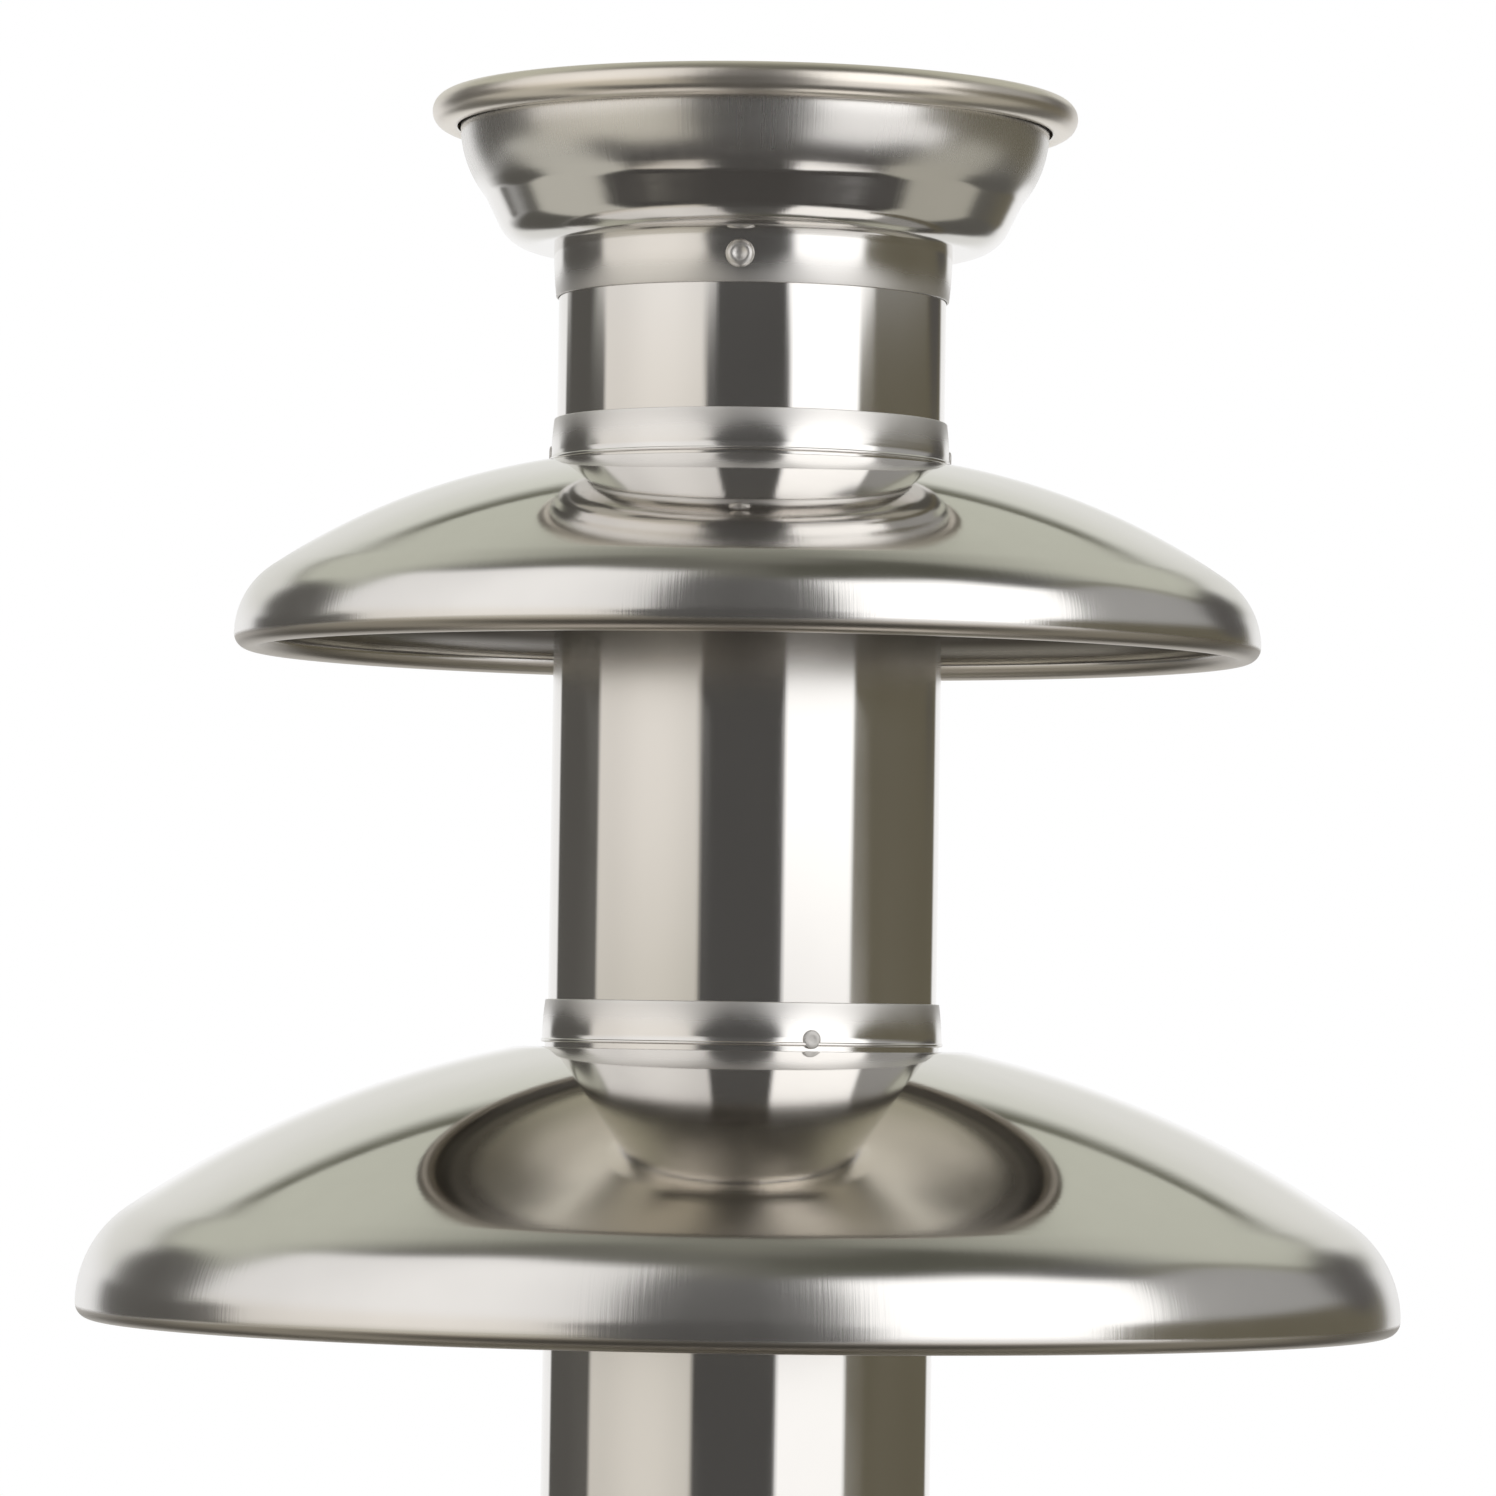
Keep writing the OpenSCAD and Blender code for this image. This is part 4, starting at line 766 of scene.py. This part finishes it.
for tier, z, d, drop, shoulder_r, first, finish, collar_finish in (
        ("upper", upper_neck_z, upper_tier_d, upper_tier_drop, upper_shoulder_r, 90,
         upper_steel, upper_collar_steel),
        ("lower", lower_neck_z, lower_tier_d, lower_tier_drop, lower_shoulder_r, 20,
         lower_steel, lower_collar_steel)):
    body = tier + "_tier"
    spun = pressed_sheet(dome_path(d, drop, shoulder_r), -sheet)
    dome = turned(tier + "_dome_spun", raised(spun, z), 360)
    fit(dome, body, "spun_steel", finish, tier + "_dome")
    collar = turned(tier + "_collar_satin", collar_outline(z))
    fit(collar, body, "collar_steel", collar_finish, tier + "_collar")
    rivets = rivet_heads(tier + "_rivet_heads", z + 1.5, first, head_d=2.4, head_h=0.2)
    fit(rivets, body, "rivet_steel", dull_rivet_steel, tier + "_rivets")

upper_tube = turned("upper_tube_polished", tube_outline(upper_neck_z, crown_z))
fit(upper_tube, "upper_column", "tube_steel", tube_steel, "upper_tube")
middle_tube = turned("middle_tube_polished", tube_outline(lower_neck_z, upper_neck_z - stop_t))
fit(middle_tube, "middle_column", "tube_steel", tube_steel, "middle_tube")
lower_tube = legged_tube("lower_tube_polished", floor_z, lower_neck_z - stop_t)
fit(lower_tube, "lower_column", "tube_steel", tube_steel, "lower_tube")

flight = helical_flight("auger_flight_moulded", flight_low, flight_high, flight_pitch, core_r, flight_r)
fit(flight, "auger", "auger_plastic", auger_white, "auger_flight")
plug_r, plug_low, cap_rise = 6.0, core_top - 6, 4.9
cap = [(0, plug_low), (plug_r - 0.1, plug_low), (plug_r, plug_low + 0.2), (plug_r, core_top)]
cap += [(core_r - 0.2, core_top), (core_r, core_top + 0.1)]
cap += raised(oval(core_r, cap_rise, 5), core_top + 0.1)[1:]
cap += [(0, core_top + 0.1 + cap_rise)]
fit(turned("auger_cap_moulded", cap, 96), "auger", "auger_plastic", auger_white, "auger_cap")

bowl = turned("bowl_spun", pressed_sheet(bowl_path(), -bowl_sheet), 360)
fit(bowl, "base", "bowl_steel", bowl_steel, "bowl")

lens_r, lens_h, lens_stem_r, lens_stem = 4.5, 2.6, 3.5, -12.5
lens_outline = [(0, lens_stem), (lens_stem_r, lens_stem), (lens_stem_r, 0)]
lens_outline += oval(lens_r, lens_h, 6) + [(0, lens_h)]
lens_place = Matrix.Translation((0, panel_y * MM, (panel_z + 6) * MM))
lens_place = lens_place @ Matrix.Rotation(math.pi / 2, 4, "X")
pilot_lamp = turned("pilot_lamp_lens", lens_outline, 64, lens_place)
fit(pilot_lamp, "base", "lamp_lens", lens, "pilot_lamp")

fit(eased("control_panel", 0.7, 3), "base", "panel_plastic", fascia, "control_panel")
fit(eased("power_inlet", 0.5), "base", "panel_plastic", black_plastic, "power_inlet")
fit(eased("switch_body", 0.3), "base", "knob_plastic", black_plastic, "switch_body")
fit(eased("heat_knob", 0.35), "knob", "knob_plastic", knob_black, "heat_knob")
fit(eased("rocker_button", 0.35), "rocker", "rocker_plastic", red_plastic, "rocker_button")

carried_over = {
    "auger_core": auger_white, "auger_socket": socket_blue,
    "tower_pegs": rivet_steel, "bowl_gasket": gasket,
    "shaft_bush": brass, "bush_nut": plated, "shaft_seal": seal, "bowl_standoffs": plated,
    "heater_element": sheath, "heater_clamp": zinc, "clamp_studs": plated, "thermostat": control_plastic,
    "drive_shaft": shaft_steel, "drive_pin": shaft_steel, "output_gear": nylon, "idler_gear": nylon,
    "idler_axle": shaft_steel, "motor_rotor": rotor_steel, "motor_can": motor_steel, "motor_coil": copper,
    "gearbox_case": case_plastic, "gearbox_lid": case_plastic,
    "housing": housing_steel, "base_plate": base_paint,
    "chassis_plate": zinc, "chassis_posts": plated, "chassis_screws": plated, "base_screws": plated,
    "knob_spindle": shaft_steel, "heat_control": control_plastic, "inlet_pins": brass,
    "terminal_block": terminal_plastic, "foot_nuts": plated,
    "front_foot_pad": rubber, "right_foot_pad": rubber, "left_foot_pad": rubber,
    "front_foot_screw": plated, "right_foot_screw": plated, "left_foot_screw": plated,
}
for node, finish in carried_over.items():
    for held in nodes[node].material_slots:
        held.material = finish


# Studio

world = bpy.data.worlds.new("studio_room")
bpy.context.scene.world = world
world.use_nodes = True
world.node_tree.nodes.clear()
room = Wire(world.node_tree)
wx, wy, wz = axes(room, "Generated")
# Bearing of a direction from the front, positive to the right, and its height above the horizon, in degrees
turn = room.math("ARCTAN2", wx, 0 - wy) * (180 / math.pi)
rise = room.math("ARCSINE", wz) * (180 / math.pi)
aside = abs(turn)
raised_part = rise.smooth(5.5, 11)

# Dim ceiling, paler at the back, darkest over the right diffuser
dim_front = rise.smooth(8, 16).mix((0.078, 0.076, 0.073), (0.105, 0.103, 0.1))
dim_front = rise.smooth(46, 64).mix(dim_front, (0.15, 0.147, 0.125))
pale_back = rise.smooth(46, 80).mix((0.57, 0.58, 0.5), (0.27, 0.272, 0.23))
seen = aside.smooth(85, 125).mix(dim_front, pale_back)
seen = rise.smooth(74, 90).mix(seen, (0.21, 0.21, 0.176))
seen = (turn.band(8, 95, 20) * rise.band(54, 76, 10)).mix(seen, (0.09, 0.09, 0.07))

# White backdrop behind the object, with a thin edge
edge = rise - (24.5 + 12 * aside.smooth(134, 172) - 2 * turn.smooth(-10, 10))
backdrop_light = rise.smooth(3, 14).mix((1.0, 1.0, 1.0), (0.80, 0.80, 0.765))
backdrop_light = rise.smooth(18, 34).mix(backdrop_light, (0.70, 0.71, 0.64))
seen = (aside.smooth(100, 118) * (1 - edge.smooth(0, 2))).mix(seen, backdrop_light)
backdrop_edge = aside.smooth(112, 130) * edge.smooth(-5, 0) * (1 - edge.smooth(0.4, 1.4))
seen = backdrop_edge.mix(seen, (0.15, 0.15, 0.115))

# Left: a dark gap, then a tall diffuser
spot_x, spot_y = (turn + 124) / 18, (rise - 13) / 17
left_spot = 1 - (spot_x * spot_x + spot_y * spot_y).smooth(0.5, 1.3)
left_gap = room.math("MAXIMUM", left_spot, turn.band(-144, -90, 4) * rise.band(-14, 7, 4))
seen = left_gap.mix(seen, (0.098, 0.094, 0.086))
left_far = turn + 97 + 10 * raised_part
left_near = turn + 26.5 + 2.5 * rise.smooth(2, 5) - 8 * raised_part
left_over = rise - (63 - 18 * aside.smooth(62, 108))
left_light = left_far.smooth(-2, 2) * (1 - left_near.smooth(-2, 2)) * (1 - left_over.smooth(-5, 5))
left_glow = rise.smooth(-9, 1).mix((0.62, 0.59, 0.515), (0.965, 0.925, 0.87))
left_glow = rise.smooth(4, 16).mix(left_glow, (1.03, 1.02, 1.01))
left_glow = abs(turn + 55).smooth(3, 34).mix(left_glow, dimmed(room, left_glow, 0.88))
seen = left_light.mix(seen, left_glow)

# Right: a grey disc with a dark rim and a dark spot, then a lower diffuser
disc_over = rise - (40 - 30 * turn.smooth(104, 150))
disc = turn.band(60, 152, 6) * (1 - disc_over.smooth(-2, 2))
disc_tone = rise.smooth(6, 12).mix((0.136, 0.122, 0.085), (0.37, 0.368, 0.36))
seen = disc.mix(seen, disc_tone)
disc_rim = turn.band(88, 156, 8) * disc_over.band(0, 5, 3)
seen = (disc_rim * 0.75).mix(seen, (0.2, 0.195, 0.155))
dip_x, dip_y = (turn - 140) / 13, (rise - 14) / 12
right_spot = 1 - (dip_x * dip_x + dip_y * dip_y).smooth(0.4, 1.3)
seen = right_spot.mix(seen, (0.085, 0.08, 0.075))
right_near = turn - 23 + 2.5 * raised_part
right_far = turn - 66.5 - 10 * raised_part - 0.22 * room.math("MAXIMUM", rise - 2, 0.0)
right_far = right_far - 16 * (1 - rise.smooth(-14, -7))
right_over = rise - (52 - 13 * turn.smooth(55, 88))
right_light = right_near.smooth(-2, 2) * (1 - right_far.smooth(-2, 2)) * (1 - right_over.smooth(-5, 5))
right_glow = rise.smooth(-8, 1).mix((0.98, 0.97, 0.96), (1.5, 1.5, 1.5))
seen = right_light.mix(seen, right_glow)

# Dark table in front, lit strips at its sides, pale behind
strip_tone = turn.smooth(-20, 20).mix((0.53, 0.515, 0.46), (0.42, 0.405, 0.35))
dark_tone = aside.smooth(100, 120).mix((0.058, 0.054, 0.05), (0.1, 0.096, 0.085))
table_tone = aside.band(79, 119, 6).mix(dark_tone, strip_tone)
table_tone = aside.smooth(152, 160).mix(table_tone, (0.8, 0.8, 0.78))
below = rise + 38 - 10 * aside.smooth(50, 70) - 14 * aside.smooth(86, 96)
seen = (1 - below.smooth(-6, 6)).mix(seen, table_tone)
path = room.node("ShaderNodeLightPath", out="Is Camera Ray")
shiny = room.math("MAXIMUM", path.other("Is Glossy Ray"), path.other("Is Transmission Ray"))
sky = path.mix(shiny.mix((0.84, 0.84, 0.84), seen), (1.0, 1.0, 1.0))
glow = room.node("ShaderNodeBackground", {}, {"Color": sky, "Strength": 1.0})
room.node("ShaderNodeOutputWorld", {}, {"Surface": glow})


def pale_floor():
    """A pale table top that melts into the white backdrop at its border, and is clear from below.

    Past its middle, polished steel sees the dark table of the studio room instead of it.
    """
    material, start = new_finish("pale_floor")
    x, y = axes(start)[:2]
    r = (x * x + y * y) ** 0.5
    clouds = noise(start, x * 14, y * 14, 0.0, 3.0)
    grain = noise(start, x * 700, y * 700, 0.0, 2.0)
    top = start.node("ShaderNodeBsdfPrincipled", {}, {
        "Base Color": clouds.mix((0.93, 0.93, 0.925), (0.96, 0.96, 0.955)),
        "Roughness": 0.55 + 0.1 * (clouds - 0.5),
        "Specular IOR Level": 0.25,
        "Normal": dented(start, grain, 1.0e-5),
    })
    clear = start.node("ShaderNodeBsdfTransparent")
    shiny = start.node("ShaderNodeLightPath", out="Is Glossy Ray")
    gone = start.math("MAXIMUM", r.smooth(0.20, 0.34), shiny * r.smooth(0.13, 0.17))
    gone = start.math("MAXIMUM", gone, start.node("ShaderNodeNewGeometry", out="Backfacing"))
    melt = start.node("ShaderNodeMixShader", {}, {0: gone, 1: top, 2: clear})
    start.node("ShaderNodeOutputMaterial", {}, {"Surface": melt})
    return material


floor_mesh = bmesh.new()
bmesh.ops.create_circle(floor_mesh, cap_ends=True, cap_tris=False, segments=128, radius=0.36)
table = piece("pale_table_top", floor_mesh)
table.data.materials.append(pale_floor())

key = bpy.data.lights.new("soft_key", "AREA")
key.shape = "DISK"
key.size = 0.9
key.energy = 6.5
key_lamp = bpy.data.objects.new("soft_key", key)
key_lamp.location = (-0.65, -0.85, 1.35)
key_lamp.rotation_euler = (Vector((0, 0, 0.2)) - key_lamp.location).to_track_quat("-Z", "Y").to_euler()
key_lamp.visible_glossy = False
bpy.context.scene.collection.objects.link(key_lamp)

# Camera: a long lens level with the lower tier, tipped up by two degrees and rolled by less than one
camera_place = (0.00026, -0.968, 0.2864)
camera_tip = math.radians(90 + 2.066)
camera_roll = math.radians(0.85)
view = bpy.data.cameras.new("photo_view")
view.lens = 178.1
view.sensor_width = 36.0
view.clip_start = 0.05
camera = bpy.data.objects.new("photo_view", view)
camera.matrix_world = (Matrix.Translation(camera_place) @ Matrix.Rotation(camera_tip, 4, "X")
                       @ Matrix.Rotation(camera_roll, 4, "Z"))
bpy.context.scene.collection.objects.link(camera)
bpy.context.scene.camera = camera
bpy.context.scene.view_settings.view_transform = "Standard"

bpy.context.view_layer.update()
